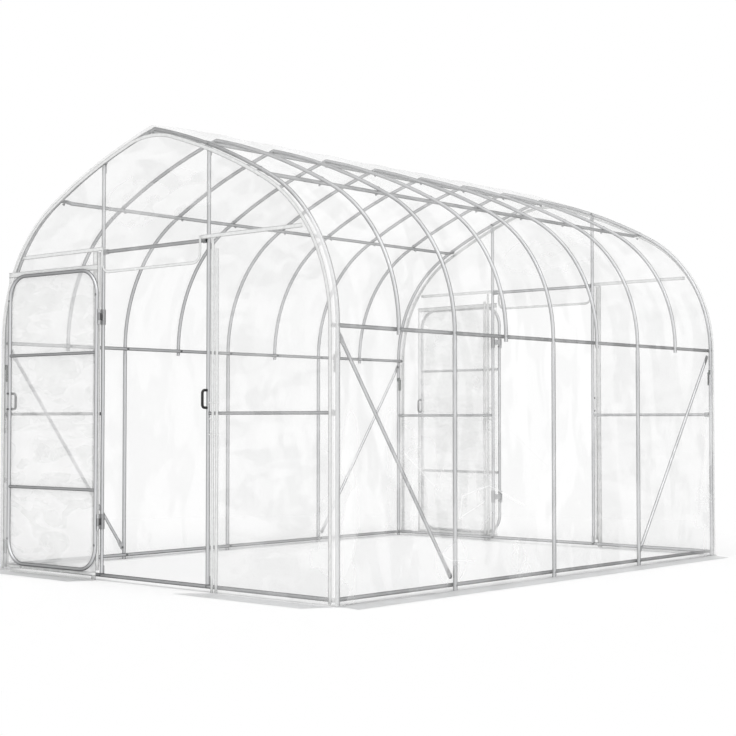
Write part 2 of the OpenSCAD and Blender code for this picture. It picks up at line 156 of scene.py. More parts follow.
class FilmSettings(bpy.types.PropertyGroup):
    """Shape and clearness of the film"""

    sag: bpy.props.FloatProperty(
        name="Sag", description="How far the cover dips in between two hoops",
        default=0.006, min=0.0, max=0.010, unit="LENGTH")
    dent: bpy.props.FloatProperty(
        name="Dents", description="Depth of the pressed-in folds of the cover",
        default=0.009, min=0.0, max=0.012, unit="LENGTH")
    ripple: bpy.props.FloatProperty(
        name="Ripples", description="Height of the soft waves of the gable and door film",
        default=0.0035, min=0.0, max=0.006, unit="LENGTH")
    ridge_lift: bpy.props.FloatProperty(
        name="Ridge lift", description="How far the cover stands off the ridge",
        default=0.022, min=0.0, max=0.030, unit="LENGTH")
    veil: bpy.props.FloatProperty(
        name="Veil", description="How milky the flat film is",
        default=0.19, min=0.02, max=0.6, subtype="FACTOR")
    # How strong the painted highlight on the creases is; the same mask also makes the film denser there
    crease: bpy.props.FloatProperty(
        name="Creases", description="How white the creases are",
        default=0.55, min=0.0, max=1.0, subtype="FACTOR")
    hem: bpy.props.FloatProperty(
        name="Hem", description="Width of the white hems along the film's edges",
        default=0.018, min=0.006, max=0.03, unit="LENGTH")
    film_colour: bpy.props.FloatVectorProperty(
        name="Film colour", description="Colour of the film where it is milky",
        default=(0.66, 0.665, 0.66), size=3, min=0.0, max=1.0, subtype="COLOR")
    # The colour of the painted highlight on the film's creases, streaks and facets
    fold_highlight_colour: bpy.props.FloatVectorProperty(
        name="Fold colour", description="Colour of the film along its creases",
        default=(0.99, 0.99, 0.99), size=3, min=0.0, max=1.0, subtype="COLOR")
    skirt_colour: bpy.props.FloatVectorProperty(
        name="Skirt colour", description="Colour of the heavier film of the ground skirts",
        default=(0.60, 0.605, 0.61), size=3, min=0.0, max=1.0, subtype="COLOR")
    hem_colour: bpy.props.FloatVectorProperty(
        name="Hem colour", description="Colour of the welded hems and seams",
        default=(0.92, 0.925, 0.92), size=3, min=0.0, max=1.0, subtype="COLOR")


class FrameSettings(bpy.types.PropertyGroup):
    """Fasteners and finishes of the frame"""

    head_d: bpy.props.FloatProperty(
        name="Bolt head", description="Diameter of the domed bolt heads",
        default=0.013, min=0.008, max=0.018, unit="LENGTH")
    nut_d: bpy.props.FloatProperty(
        name="Nut", description="Width across the corners of the nuts",
        default=0.0115, min=0.008, max=0.016, unit="LENGTH")
    steel: bpy.props.FloatVectorProperty(
        name="Tube colour", description="Colour of the galvanised tubes",
        default=(0.66, 0.665, 0.675), size=3, min=0.0, max=1.0, subtype="COLOR")
    bolt_steel: bpy.props.FloatVectorProperty(
        name="Bolt colour", description="Colour of the zinc-plated bolts and nuts",
        default=(0.34, 0.345, 0.35), size=3, min=0.0, max=1.0, subtype="COLOR")
    socket_grey: bpy.props.FloatVectorProperty(
        name="Socket colour", description="Colour of the end sockets and tube plugs",
        default=(0.26, 0.265, 0.27), size=3, min=0.0, max=1.0, subtype="COLOR")
    handle_grey: bpy.props.FloatVectorProperty(
        name="Door handle colour", description="Colour of the door handles",
        default=(0.10, 0.10, 0.105), size=3, min=0.0, max=1.0, subtype="COLOR")
    handle_black: bpy.props.FloatVectorProperty(
        name="Post handle colour", description="Colour of the handles on the door posts",
        default=(0.006, 0.006, 0.006), size=3, min=0.0, max=1.0, subtype="COLOR")
    strap: bpy.props.FloatVectorProperty(
        name="Strap colour", description="Colour of the corner straps",
        default=(0.045, 0.055, 0.048), size=3, min=0.0, max=1.0, subtype="COLOR")


def film_settings():
    return bpy.context.scene.greenhouse_film


def frame_settings():
    return bpy.context.scene.greenhouse_frame


# Materials


def new_material(name):
    """An empty node material with its Principled shader and output"""
    mat = bpy.data.materials.new(name)
    mat.use_nodes = True
    tree = mat.node_tree
    tree.nodes.clear()
    shader = tree.nodes.new("ShaderNodeBsdfPrincipled")
    out = tree.nodes.new("ShaderNodeOutputMaterial")
    tree.links.new(shader.outputs["BSDF"], out.inputs["Surface"])
    return mat, tree, shader


def add(tree, kind, **settings):
    """A node with its properties and input values set"""
    made = tree.nodes.new(kind)
    for key, value in settings.items():
        if hasattr(made, key):
            setattr(made, key, value)
        else:
            made.inputs[key.replace("_", " ")].default_value = value
    return made


def sums(tree, operation, first, second, clamp=False):
    """A Math node; each input is a socket or a number"""
    made = tree.nodes.new("ShaderNodeMath")
    made.operation = operation
    made.use_clamp = clamp
    for socket, value in zip(made.inputs, (first, second)):
        if isinstance(value, (int, float)):
            socket.default_value = value
        else:
            tree.links.new(value, socket)
    return made.outputs[0]


def colour_mix(tree, factor, first, second):
    """A colour between first and second by factor; each is a socket or a colour"""
    made = tree.nodes.new("ShaderNodeMix")
    made.data_type = "RGBA"
    tree.links.new(factor, made.inputs["Factor"])
    for socket, value in ((made.inputs[6], first), (made.inputs[7], second)):
        if isinstance(value, (tuple, list)):
            socket.default_value = (*value[:3], 1.0)
        else:
            tree.links.new(value, socket)
    return made.outputs[2]


def remap(tree, value, low, high, to_low=0.0, to_high=1.0):
    made = tree.nodes.new("ShaderNodeMapRange")
    tree.links.new(value, made.inputs["Value"])
    for name, number in (("From Min", low), ("From Max", high), ("To Min", to_low), ("To Max", to_high)):
        made.inputs[name].default_value = number
    return made.outputs["Result"]


def object_noise(tree, scale, detail):
    """Noise that is fixed to the piece"""
    place = tree.nodes.new("ShaderNodeTexCoord")
    made = add(tree, "ShaderNodeTexNoise")
    made.inputs["Scale"].default_value = scale
    made.inputs["Detail"].default_value = detail
    tree.links.new(place.outputs["Object"], made.inputs["Vector"])
    return made.outputs["Fac"]


def bump(tree, shader, height, strength, distance):
    """Gives the shader a bumped normal from a height"""
    made = add(tree, "ShaderNodeBump")
    made.inputs["Strength"].default_value = strength
    made.inputs["Distance"].default_value = distance
    tree.links.new(height, made.inputs["Height"])
    tree.links.new(made.outputs["Normal"], shader.inputs["Normal"])


def crease_group():
    """Crumpled film on a flat pattern: a mask of painted highlights on long streaks, on facets and on curved
    creases where it is pressed, and a height
    """
    found = bpy.data.node_groups.get("Film Creases")
    if found:
        return found
    group = bpy.data.node_groups.new("Film Creases", "ShaderNodeTree")
    face = group.interface
    face.new_socket("Vector", in_out="INPUT", socket_type="NodeSocketVector")
    face.new_socket("Scale", in_out="INPUT", socket_type="NodeSocketFloat").default_value = 2.0
    face.new_socket("Pressed", in_out="INPUT", socket_type="NodeSocketFloat").default_value = 0.0
    for output in ("White", "Cloud", "Height"):
        face.new_socket(output, in_out="OUTPUT", socket_type="NodeSocketFloat")
    enter = group.nodes.new("NodeGroupInput")
    leave = group.nodes.new("NodeGroupOutput")
    pull = add(group, "ShaderNodeTexNoise")
    pull.inputs["Scale"].default_value = 2.6
    pull.inputs["Detail"].default_value = 1.0
    group.links.new(enter.outputs["Vector"], pull.inputs["Vector"])
    drag = add(group, "ShaderNodeVectorMath", operation="MULTIPLY_ADD")
    group.links.new(pull.outputs["Color"], drag.inputs[0])
    drag.inputs[1].default_value = (0.30, 0.30, 0.30)
    group.links.new(enter.outputs["Vector"], drag.inputs[2])
    pressed = enter.outputs["Pressed"]
    white = None
    height = None
    # Long streaks of painted highlight in two directions, with one crisp and one soft side
    for turn, across, step, low, weight in ((0.6, 2.6, 1.0, 0.50, 1.0), (-0.9, 2.2, 2.0, 0.54, 0.8)):
        lay = add(group, "ShaderNodeMapping")
        lay.inputs["Rotation"].default_value = (0.0, 0.0, turn)
        lay.inputs["Scale"].default_value = (1.0, across, 1.0)
        group.links.new(enter.outputs["Vector"], lay.inputs["Vector"])
        stroke = add(group, "ShaderNodeTexNoise")
        stroke.inputs["Detail"].default_value = 1.4
        stroke.inputs["Distortion"].default_value = 1.3
        group.links.new(lay.outputs["Vector"], stroke.inputs["Vector"])
        group.links.new(sums(group, "MULTIPLY", enter.outputs["Scale"], step), stroke.inputs["Scale"])
        shown = sums(group, "ADD", stroke.outputs["Fac"], sums(group, "MULTIPLY", pressed, 0.07))
        mark = remap(group, shown, low, low + 0.06, 0.0, weight)
        white = mark if white is None else sums(group, "MAXIMUM", white, mark)
        height = shown if height is None else sums(group, "ADD", height, shown)
    # Flat facets between the folds, each with its own strength of painted highlight, as if each turned to the
    # light its own way
    cells = add(group, "ShaderNodeTexVoronoi", feature="F1")
    patch = add(group, "ShaderNodeTexNoise")
    patch.inputs["Detail"].default_value = 1.5
    for texture, vector, step in ((cells, drag, 2.0), (patch, enter, 1.0)):
        group.links.new(vector.outputs["Vector"], texture.inputs["Vector"])
        group.links.new(sums(group, "MULTIPLY", enter.outputs["Scale"], step), texture.inputs["Scale"])
    split = add(group, "ShaderNodeSeparateColor")
    group.links.new(cells.outputs["Color"], split.inputs["Color"])
    facet = remap(group, split.outputs["Red"], 0.50, 1.0, 0.0, 0.6)
    here = sums(group, "ADD", patch.outputs["Fac"], sums(group, "MULTIPLY", pressed, 0.25))
    facet = sums(group, "MULTIPLY", facet, remap(group, here, 0.54, 0.68))
    white = sums(group, "MAXIMUM", white, facet)
    # Curved creases where the film is pressed, drawn as lines of painted highlight
    for step, width in ((1.7, 0.014), (3.9, 0.020)):
        vein = add(group, "ShaderNodeTexNoise")
        vein.inputs["Detail"].default_value = 1.0
        vein.inputs["Distortion"].default_value = 0.5
        group.links.new(drag.outputs["Vector"], vein.inputs["Vector"])
        group.links.new(sums(group, "MULTIPLY", enter.outputs["Scale"], step), vein.inputs["Scale"])
        near = sums(group, "ABSOLUTE", sums(group, "SUBTRACT", vein.outputs["Fac"], 0.5), 0.0)
        line = remap(group, near, width * 0.3, width, 1.0, 0.0)
        line = sums(group, "MULTIPLY", line, remap(group, here, 0.62, 0.82))
        white = sums(group, "MAXIMUM", white, line)
    cloud = add(group, "ShaderNodeTexNoise")
    cloud.inputs["Scale"].default_value = 2.4
    cloud.inputs["Detail"].default_value = 3.0
    cloud.inputs["Distortion"].default_value = 0.8
    group.links.new(enter.outputs["Vector"], cloud.inputs["Vector"])
    group.links.new(white, leave.inputs["White"])
    group.links.new(remap(group, cloud.outputs["Fac"], 0.42, 0.70), leave.inputs["Cloud"])
    group.links.new(height, leave.inputs["Height"])
    return group


def fold_line_group():
    """A soft line on a flat pattern between two of its points"""
    found = bpy.data.node_groups.get("Fold Line")
    if found:
        return found
    group = bpy.data.node_groups.new("Fold Line", "ShaderNodeTree")
    face = group.interface
    for socket in ("Vector", "From", "To"):
        face.new_socket(socket, in_out="INPUT", socket_type="NodeSocketVector")
    face.new_socket("Width", in_out="INPUT", socket_type="NodeSocketFloat").default_value = 0.01
    face.new_socket("Line", in_out="OUTPUT", socket_type="NodeSocketFloat")
    enter = group.nodes.new("NodeGroupInput")
    leave = group.nodes.new("NodeGroupOutput")

    def vectors(operation, first, second):
        made = add(group, "ShaderNodeVectorMath", operation=operation)
        group.links.new(first, made.inputs[0])
        if second is not None:
            group.links.new(second, made.inputs[1])
        return made

    along = vectors("SUBTRACT", enter.outputs["To"], enter.outputs["From"]).outputs["Vector"]
    away = vectors("SUBTRACT", enter.outputs["Vector"], enter.outputs["From"]).outputs["Vector"]
    part = vectors("DOT_PRODUCT", along, away).outputs["Value"]
    whole = vectors("DOT_PRODUCT", along, along).outputs["Value"]
    share = sums(group, "DIVIDE", part, whole, clamp=True)
    scaled = add(group, "ShaderNodeVectorMath", operation="SCALE")
    group.links.new(along, scaled.inputs[0])
    group.links.new(share, scaled.inputs["Scale"])
    gap = vectors("DISTANCE", away, scaled.outputs["Vector"]).outputs["Value"]
    line = sums(group, "SUBTRACT", 1.0, sums(group, "DIVIDE", gap, enter.outputs["Width"]), clamp=True)
    group.links.new(line, leave.inputs["Line"])
    return group


def fold_lines(tree, vector, lines, width):
    """The strongest of several fold lines at a point of the flat pattern"""
    strongest = None
    for start, stop, strength in lines:
        made = tree.nodes.new("ShaderNodeGroup")
        made.node_tree = fold_line_group()
        tree.links.new(vector, made.inputs["Vector"])
        made.inputs["From"].default_value = (*start, 0.0)
        made.inputs["To"].default_value = (*stop, 0.0)
        made.inputs["Width"].default_value = width
        line = sums(tree, "MULTIPLY", made.outputs["Line"], strength)
        strongest = line if strongest is None else sums(tree, "MAXIMUM", strongest, line)
    return strongest


def lighter_shadow(tree, alpha, share):
    """Lets the film throw only a share of its shadow, as thin clear film does"""
    rays = tree.nodes.new("ShaderNodeLightPath")
    kept = remap(tree, rays.outputs["Is Shadow Ray"], 0.0, 1.0, 1.0, share)
    return sums(tree, "MULTIPLY", alpha, kept)


def film_material(name, scale, veil, crease, colour, crease_highlight, lines=()):
    """Clear film: a thin neutral veil, denser when seen edge-on, whiter in clouds, and denser along its
    creases, streaks and facets, where a painted highlight also whitens it
    """
    mat, tree, shader = new_material(name)
    spread = add(tree, "ShaderNodeUVMap", uv_map="flat")
    pressed = add(tree, "ShaderNodeAttribute", attribute_type="GEOMETRY", attribute_name="pressed")
    folds = tree.nodes.new("ShaderNodeGroup")
    folds.node_tree = crease_group()
    folds.inputs["Scale"].default_value = scale
    tree.links.new(spread.outputs["UV"], folds.inputs["Vector"])
    tree.links.new(pressed.outputs["Fac"], folds.inputs["Pressed"])
    # The crease mask is painted highlight in the colour, and together with the pressed density it is thicker
    # film in the alpha
    white = sums(tree, "MULTIPLY", folds.outputs["White"], crease)
    # The wall's sharp creases are drawn as lines of painted highlight as well
    if lines:
        shift = add(tree, "ShaderNodeTexNoise")
        shift.inputs["Scale"].default_value = 9.0
        tree.links.new(spread.outputs["UV"], shift.inputs["Vector"])
        wander = add(tree, "ShaderNodeVectorMath", operation="MULTIPLY_ADD")
        tree.links.new(shift.outputs["Color"], wander.inputs[0])
        wander.inputs[1].default_value = (0.012, 0.012, 0.0)
        tree.links.new(spread.outputs["UV"], wander.inputs[2])
        drawn = fold_lines(tree, wander.outputs["Vector"], lines, 0.009)
        white = sums(tree, "MAXIMUM", white, drawn)
    cloud = sums(tree, "MULTIPLY", folds.outputs["Cloud"], 0.4)
    milky = add(tree, "ShaderNodeAttribute", attribute_type="GEOMETRY", attribute_name="milky")
    edge = add(tree, "ShaderNodeLayerWeight")
    edge.inputs["Blend"].default_value = 0.2
    alpha = sums(tree, "ADD", sums(tree, "MULTIPLY", edge.outputs["Facing"], 0.16), veil)
    dense = remap(tree, pressed.outputs["Fac"], 0.0, 0.8, 0.06, 0.38)
    if lines:
        dense = sums(tree, "MAXIMUM", dense, sums(tree, "MULTIPLY", drawn, 0.35))
    alpha = sums(tree, "ADD", alpha, sums(tree, "MULTIPLY", white, dense), clamp=True)
    alpha = sums(tree, "MAXIMUM", alpha, sums(tree, "MULTIPLY", milky.outputs["Fac"], 0.66))
    tree.links.new(lighter_shadow(tree, alpha, 0.3), shader.inputs["Alpha"])
    # Painted highlight: creases, streaks and facets run towards the fold highlight colour; clouds and the milky
    # wraps lighten the film too
    tone = sums(tree, "MAXIMUM", sums(tree, "MULTIPLY", white, 1.9, clamp=True), cloud, clamp=True)
    tone = sums(tree, "MAXIMUM", tone, milky.outputs["Fac"], clamp=True)
    tree.links.new(colour_mix(tree, tone, colour, crease_highlight), shader.inputs["Base Color"])
    shader.inputs["Roughness"].default_value = 0.2
    shader.inputs["IOR"].default_value = 1.5
    bump(tree, shader, folds.outputs["Height"], 0.15, 0.012)
    return mat


def skirt_material(name, colour):
    """Heavier film lying on the ground: nearly solid light grey with soft waves"""
    mat, tree, shader = new_material(name)
    cloud = object_noise(tree, 5.0, 4.0)
    light = tuple(min(1.0, c * 1.18) for c in colour)
    blotch = remap(tree, cloud, 0.35, 0.70)
    tree.links.new(colour_mix(tree, blotch, colour, light), shader.inputs["Base Color"])
    alpha = remap(tree, cloud, 0.3, 0.7, 0.86, 0.78)
    tree.links.new(lighter_shadow(tree, alpha, 0.5), shader.inputs["Alpha"])
    shader.inputs["Roughness"].default_value = 0.35
    bump(tree, shader, cloud, 0.2, 0.004)
    return mat


def hem_material(name, colour):
    """Welded double film: a white band between two thin grey weld lines, a little glossy"""
    mat, tree, shader = new_material(name)
    band = add(tree, "ShaderNodeUVMap", uv_map="flat")
    split = tree.nodes.new("ShaderNodeSeparateXYZ")
    tree.links.new(band.outputs["UV"], split.inputs["Vector"])
    across = sums(tree, "ABSOLUTE", split.outputs["Y"], 0.0)
    weld = remap(tree, across, 0.66, 0.84)
    cloud = object_noise(tree, 30.0, 3.0)
    grey = tuple(c * 0.52 for c in colour)
    tree.links.new(colour_mix(tree, weld, colour, grey), shader.inputs["Base Color"])
    alpha = remap(tree, cloud, 0.35, 0.7, 0.70, 0.92)
    tree.links.new(lighter_shadow(tree, alpha, 0.4), shader.inputs["Alpha"])
    shader.inputs["Roughness"].default_value = 0.3
    bump(tree, shader, cloud, 0.25, 0.002)
    return mat


def steel_material(name, colour, roughness, mottled):
    """Galvanised steel: satin metal with faint zinc spangle, and painted shade that darkens it where it turns
    away from the camera
    """
    mat, tree, shader = new_material(name)
    place = tree.nodes.new("ShaderNodeTexCoord")
    spangle = add(tree, "ShaderNodeTexVoronoi", feature="F1")
    spangle.inputs["Scale"].default_value = 140.0
    tree.links.new(place.outputs["Object"], spangle.inputs["Vector"])
    cloud = object_noise(tree, 9.0, 4.0)
    shade = sums(tree, "MULTIPLY", remap(tree, spangle.outputs["Distance"], 0.0, 0.9), mottled)
    shade = sums(tree, "ADD", shade, sums(tree, "MULTIPLY", cloud, 0.25))
    # Painted shade: towards the tube's outline, as the camera sees it, the colour falls to a fifth of itself,
    # standing in for dark edges beside a lit middle
    turn = add(tree, "ShaderNodeLayerWeight")
    turn.inputs["Blend"].default_value = 0.5
    edge = remap(tree, turn.outputs["Facing"], 0.08, 0.60)
    dark = tuple(c * 0.80 for c in colour)
    # Colour of the painted shade at the tube's outline
    deep = tuple(c * 0.20 for c in colour)
    tone = colour_mix(tree, shade, colour, dark)
    tree.links.new(colour_mix(tree, edge, tone, deep), shader.inputs["Base Color"])
    shader.inputs["Metallic"].default_value = 0.85
    tree.links.new(remap(tree, cloud, 0.3, 0.7, roughness - 0.05, roughness + 0.06),
                   shader.inputs["Roughness"])
    return mat


def plastic_material(name, colour, roughness):
    """Moulded plastic with a fine satin grain"""
    mat, tree, shader = new_material(name)
    grain = object_noise(tree, 420.0, 3.0)
    shader.inputs["Base Color"].default_value = (*colour, 1.0)
    tree.links.new(remap(tree, grain, 0.3, 0.7, roughness - 0.04, roughness + 0.06), shader.inputs["Roughness"])
    bump(tree, shader, grain, 0.2, 0.0006)
    return mat


def webbing_material(name, colour):
    """Woven strap: fine crosswise ribs with a soft sheen"""
    mat, tree, shader = new_material(name)
    place = tree.nodes.new("ShaderNodeTexCoord")
    ribs = add(tree, "ShaderNodeTexWave", wave_type="BANDS", bands_direction="Z")
    ribs.inputs["Scale"].default_value = 130.0
    ribs.inputs["Distortion"].default_value = 0.6
    tree.links.new(place.outputs["Object"], ribs.inputs["Vector"])
    light = tuple(min(1.0, c * 1.8) for c in colour)
    tree.links.new(colour_mix(tree, ribs.outputs["Fac"], colour, light), shader.inputs["Base Color"])
    shader.inputs["Roughness"].default_value = 0.85
    shader.inputs["Sheen Weight"].default_value = 0.3
    bump(tree, shader, ribs.outputs["Fac"], 0.5, 0.0008)
    return mat


def material(name):
    """One of the greenhouse's materials, made when it is first asked for"""
    found = bpy.data.materials.get(name)
    if found:
        return found
    film, metal = film_settings(), frame_settings()
    made = {
        "galvanised tube": lambda: steel_material(name, tuple(metal.steel), 0.44, 0.16),
        "zinc-plated bolt": lambda: steel_material(name, tuple(metal.bolt_steel), 0.38, 0.05),
        "hinge plate": lambda: steel_material(name, tuple(c * 0.60 for c in metal.steel), 0.42, 0.1),
        "clear cover film": lambda: film_material(
            name, 1.6, film.veil * 0.75, film.crease, tuple(c * 0.95 for c in film.film_colour),
            tuple(film.fold_highlight_colour), wall_creases()),
        "clear gable film": lambda: film_material(
            name, 2.0, film.veil, film.crease, tuple(film.film_colour), tuple(film.fold_highlight_colour)),
        # The door's film is a lighter copy: its colour is raised by a quarter as painted light, making up for
        # the door's shaded side
        "clear door film": lambda: film_material(
            name, 2.4, film.veil * 1.5, film.crease, tuple(c * 1.25 for c in film.film_colour),
            tuple(film.fold_highlight_colour)),
        "ground skirt film": lambda: skirt_material(name, tuple(film.skirt_colour)),
        "welded hem": lambda: hem_material(name, tuple(film.hem_colour)),
        "dark socket": lambda: plastic_material(name, tuple(metal.socket_grey), 0.45),
        "grey handle": lambda: plastic_material(name, tuple(metal.handle_grey), 0.42),
        "black handle": lambda: plastic_material(name, tuple(metal.handle_black), 0.42),
        "strap webbing": lambda: webbing_material(name, tuple(metal.strap)),
    }
    return made[name]()


# Mesh helpers


def finish_piece(name, bm, finish, body, smooth=True, second=None):
    """Turns a bmesh into a piece that rides on a body; faces with index 1 take the second finish"""
    mesh = bpy.data.meshes.new(name)
    bm.to_mesh(mesh)
    bm.free()
    if smooth:
        mesh.shade_smooth()
    obj = bpy.data.objects.new(name, mesh)
    bpy.context.scene.collection.objects.link(obj)
    mesh.materials.append(material(finish))
    if second:
        mesh.materials.append(material(second))
    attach(obj, body)
    return obj


def sheet_mesh(columns, rows, place, keep=None, towards=None, second=None, pressed=None, milky=None):
    """A grid of columns by rows whose points and flat UVs come from place(i, j)

    keep and second say of a square (i, j) whether it stays and takes the second finish; pressed and milky
    give how crumpled and how white the film is at a point of its flat pattern
    """
    bm = bmesh.new()
    bmesh.ops.create_grid(bm, x_segments=columns, y_segments=rows, size=1.0)
    flat = bm.loops.layers.uv.new("flat")
    wanted = (("pressed", pressed), ("milky", milky))
    layers = [(bm.verts.layers.float.new(name), value) for name, value in wanted if value]
    spots = {}
    for vert in bm.verts:
        i = round((vert.co.x + 1) / 2 * columns)
        j = round((vert.co.y + 1) / 2 * rows)
        spots[vert] = (i, j)
    squares = {f: (min(spots[v][0] for v in f.verts), min(spots[v][1] for v in f.verts)) for f in bm.faces}
    for face, square in squares.items():
        face.material_index = 1 if second and second(*square) else 0
    if keep:
        gone = [face for face, square in squares.items() if not keep(*square)]
        bmesh.ops.delete(bm, geom=gone, context="FACES")
        spots = {v: s for v, s in spots.items() if v.is_valid}
    marks = {}
    for vert, (i, j) in spots.items():
        vert.co, marks[vert] = place(i, j)
        for layer, value in layers:
            vert[layer] = value(*marks[vert])
    for face in bm.faces:
        for loop in face.loops:
            loop[flat].uv = marks[loop.vert]
    bm.normal_update()
    if towards is not None:
        votes = sum(1 if towards(f.calc_center_median()).dot(f.normal) > 0 else -1 for f in bm.faces)
        if votes < 0:
            bmesh.ops.reverse_faces(bm, faces=bm.faces[:])
    return bm


def band_mesh(bm, line, across, width, thick, lift):
    """Adds a flat band that follows a line of points: across and lift are directions for each point"""
    flat = bm.loops.layers.uv.get("flat") or bm.loops.layers.uv.new("flat")
    made = bmesh.ops.create_grid(bm, x_segments=len(line) - 1, y_segments=4, size=1.0)["verts"]
    marks = {}
    for vert in made:
        i = round((vert.co.x + 1) / 2 * (len(line) - 1))
        side = vert.co.y
        crown = thick * 0.5 * (1 - side * side)
        marks[vert] = (i, side)
        vert.co = line[i] + across[i] * (side * width / 2) + lift[i] * crown
    faces = list({f for v in made for f in v.link_faces})
    for face in faces:
        for loop in face.loops:
            loop[flat].uv = marks[loop.vert]
    bmesh.ops.recalc_face_normals(bm, faces=faces)
    bmesh.ops.solidify(bm, geom=faces, thickness=thick)


def lathe(profile, segments):
    """A closed turned shape about +Z from a profile of (radius, height) that starts and ends on the axis"""
    bm = bmesh.new()
    verts = [bm.verts.new((r, 0.0, z)) for r, z in profile]
    edges = [bm.edges.new(pair) for pair in zip(verts, verts[1:])]
    bmesh.ops.spin(bm, geom=verts + edges, cent=(0, 0, 0), axis=(0, 0, 1), dvec=(0, 0, 0),
                   angle=math.tau, steps=segments, use_merge=True, use_duplicate=False)
    bmesh.ops.remove_doubles(bm, verts=bm.verts[:], dist=1e-6)
    bmesh.ops.recalc_face_normals(bm, faces=bm.faces[:])
    mesh = bpy.data.meshes.new("turned")
    bm.to_mesh(mesh)
    bm.free()
    return mesh


def prism(sides, radius, height, chamfer):
    """A low prism about +Z with its upper edges chamfered, such as a nut"""
    bm = bmesh.new()
    bmesh.ops.create_circle(bm, cap_ends=True, segments=sides, radius=radius)
    up = bmesh.ops.extrude_face_region(bm, geom=bm.faces[:])
    top = [g for g in up["geom"] if isinstance(g, bmesh.types.BMVert)]
    bmesh.ops.translate(bm, verts=top, vec=(0, 0, height))
    edges = [e for e in bm.edges if all(v.co.z > height * 0.9 for v in e.verts)]
    bmesh.ops.bevel(bm, geom=edges, offset=chamfer, segments=1, profile=0.5, affect="EDGES", material=-1)
    bmesh.ops.recalc_face_normals(bm, faces=bm.faces[:])
    mesh = bpy.data.meshes.new("prism")
    bm.to_mesh(mesh)
    bm.free()
    return mesh


def stand(point, direction):
    """The turn and shift that stand a shape made about +Z on a point, along a direction"""
    return Matrix.Translation(point) @ Vector(direction).to_track_quat("Z", "Y").to_matrix().to_4x4()


def scatter(templates, places):
    """One bmesh with a copy of a template at each place: (template, matrix)"""
    bm = bmesh.new()
    for template, matrix in places:
        before = len(bm.verts)
        bm.from_mesh(templates[template])
        bm.verts.ensure_lookup_table()
        bmesh.ops.transform(bm, matrix=matrix, verts=bm.verts[before:])
    return bm


# The hoops' line


def hoop_line(s, off):
    """Point (x, z) and outward direction on the hoops' line, s metres from the peak and off outside it"""
    side = 1 if s >= 0 else -1
    run = abs(s)
    if run < ROOF_LEN:
        a = PEAK_A - run / ROOF_R
        x, z = ROOF_C[0] + ROOF_R * math.cos(a), ROOF_C[1] + ROOF_R * math.sin(a)
        crown = min(1.0, run / 0.03)
        a = math.pi / 2 + (a - math.pi / 2) * crown
    elif run < ROOF_LEN + SHOULDER_LEN:
        a = SWEEP - (run - ROOF_LEN) / SHOULDER_R
        x, z = SHOULDER_C[0] + SHOULDER_R * math.cos(a), SHOULDER_C[1] + SHOULDER_R * math.sin(a)
    else:
        a = 0.0
        x, z = HALF_W, LEG_H - (run - ROOF_LEN - SHOULDER_LEN)
    nx, nz = math.cos(a), math.sin(a)
    return side * (x + off * nx), z + off * nz, side * nx, nz


def arch_height(x, off):
    """Height of the hoops' line, grown outwards by off, at a distance x from the middle"""
    x = abs(x)
    if x <= SHOULDER_C[0] + (SHOULDER_R + off) * math.cos(SWEEP):
        return ROOF_C[1] + math.sqrt((ROOF_R + off) ** 2 - (x - ROOF_C[0]) ** 2)
    return SHOULDER_C[1] + math.sqrt(max(0.0, (SHOULDER_R + off) ** 2 - (x - SHOULDER_C[0]) ** 2))


def smooth_step(t):
    t = min(1.0, max(0.0, t))
    return t * t * (3 - 2 * t)


def soft_noise(x, y, seed):
    return noise.noise(Vector((x, y, seed * 7.31)))


def pressed_folds(seed, count, half_u, half_v, low, high):
    """Places and shapes of star-shaped dents in a sheet"""
    draw = random.Random(seed)
    return [
        {
            "u": draw.uniform(-half_u, half_u), "v": draw.uniform(-half_v, half_v),
            "r": draw.uniform(low, high), "turn": draw.uniform(0, math.tau),
            "sides": draw.choice((3, 4, 5)), "stretch": draw.uniform(0.5, 1.0),
            "depth": draw.uniform(0.4, 1.0),
        }
        for _ in range(count)
    ]


def fold_depth(folds, u, v):
    """How deep the dents are at a point of the flat sheet, from 0 to 1"""
    deepest = 0.0
    for f in folds:
        du, dv = u - f["u"], (v - f["v"]) / f["stretch"]
        if abs(du) > f["r"] or abs(dv) > f["r"]:
            continue
        c, s = math.cos(f["turn"]), math.sin(f["turn"])
        p, q = du * c + dv * s, dv * c - du * s
        reach = max(p * math.cos(math.tau * k / f["sides"]) + q * math.sin(math.tau * k / f["sides"])
                    for k in range(f["sides"]))
        deepest = max(deepest, f["depth"] * (1 - reach / (f["r"] * 0.6)))
    return deepest


# Film


def wall_pressed(s, y):
    """How crumpled the cover is at a point of its flat pattern: by the end legs and in its wide folds"""
    height = ARCH_LEN - abs(s)
    if height < 0:
        return 0.0
    by_leg = smooth_step(1 - abs(HALF_L - 0.06 - abs(y)) / 0.09) * smooth_step((0.95 - height) / 0.25)
    by_leg *= 0.55 + 0.9 * soft_noise(s * 3.0, y, 8)
    wide = 0.0
    if s > 0:
        for fold_z, fold_y, reach in WALL_FOLDS:
            wide = max(wide, 1 - math.hypot(height - fold_z, y - fold_y) / reach)
    return max(0.0, 1.7 * by_leg, 0.75 * smooth_step(wide))


def wall_creases():
    """The right-hand wall's sharp creases on the cover's flat pattern"""
    return [((ARCH_LEN - z0, y0), (ARCH_LEN - z1, y1), strength)
            for (y0, z0), (y1, z1), strength in WALL_CREASES]


def cover_milky(s, y):
    """How white the cover is: where its ends wrap the end hoops, from the shoulders to the ground"""
    if abs(s) > ARCH_LEN:
        return 0.0
    return 0.9 * smooth_step((abs(y) - HALF_L + 0.012) / 0.020) * smooth_step((abs(s) - 1.05) / 0.25)


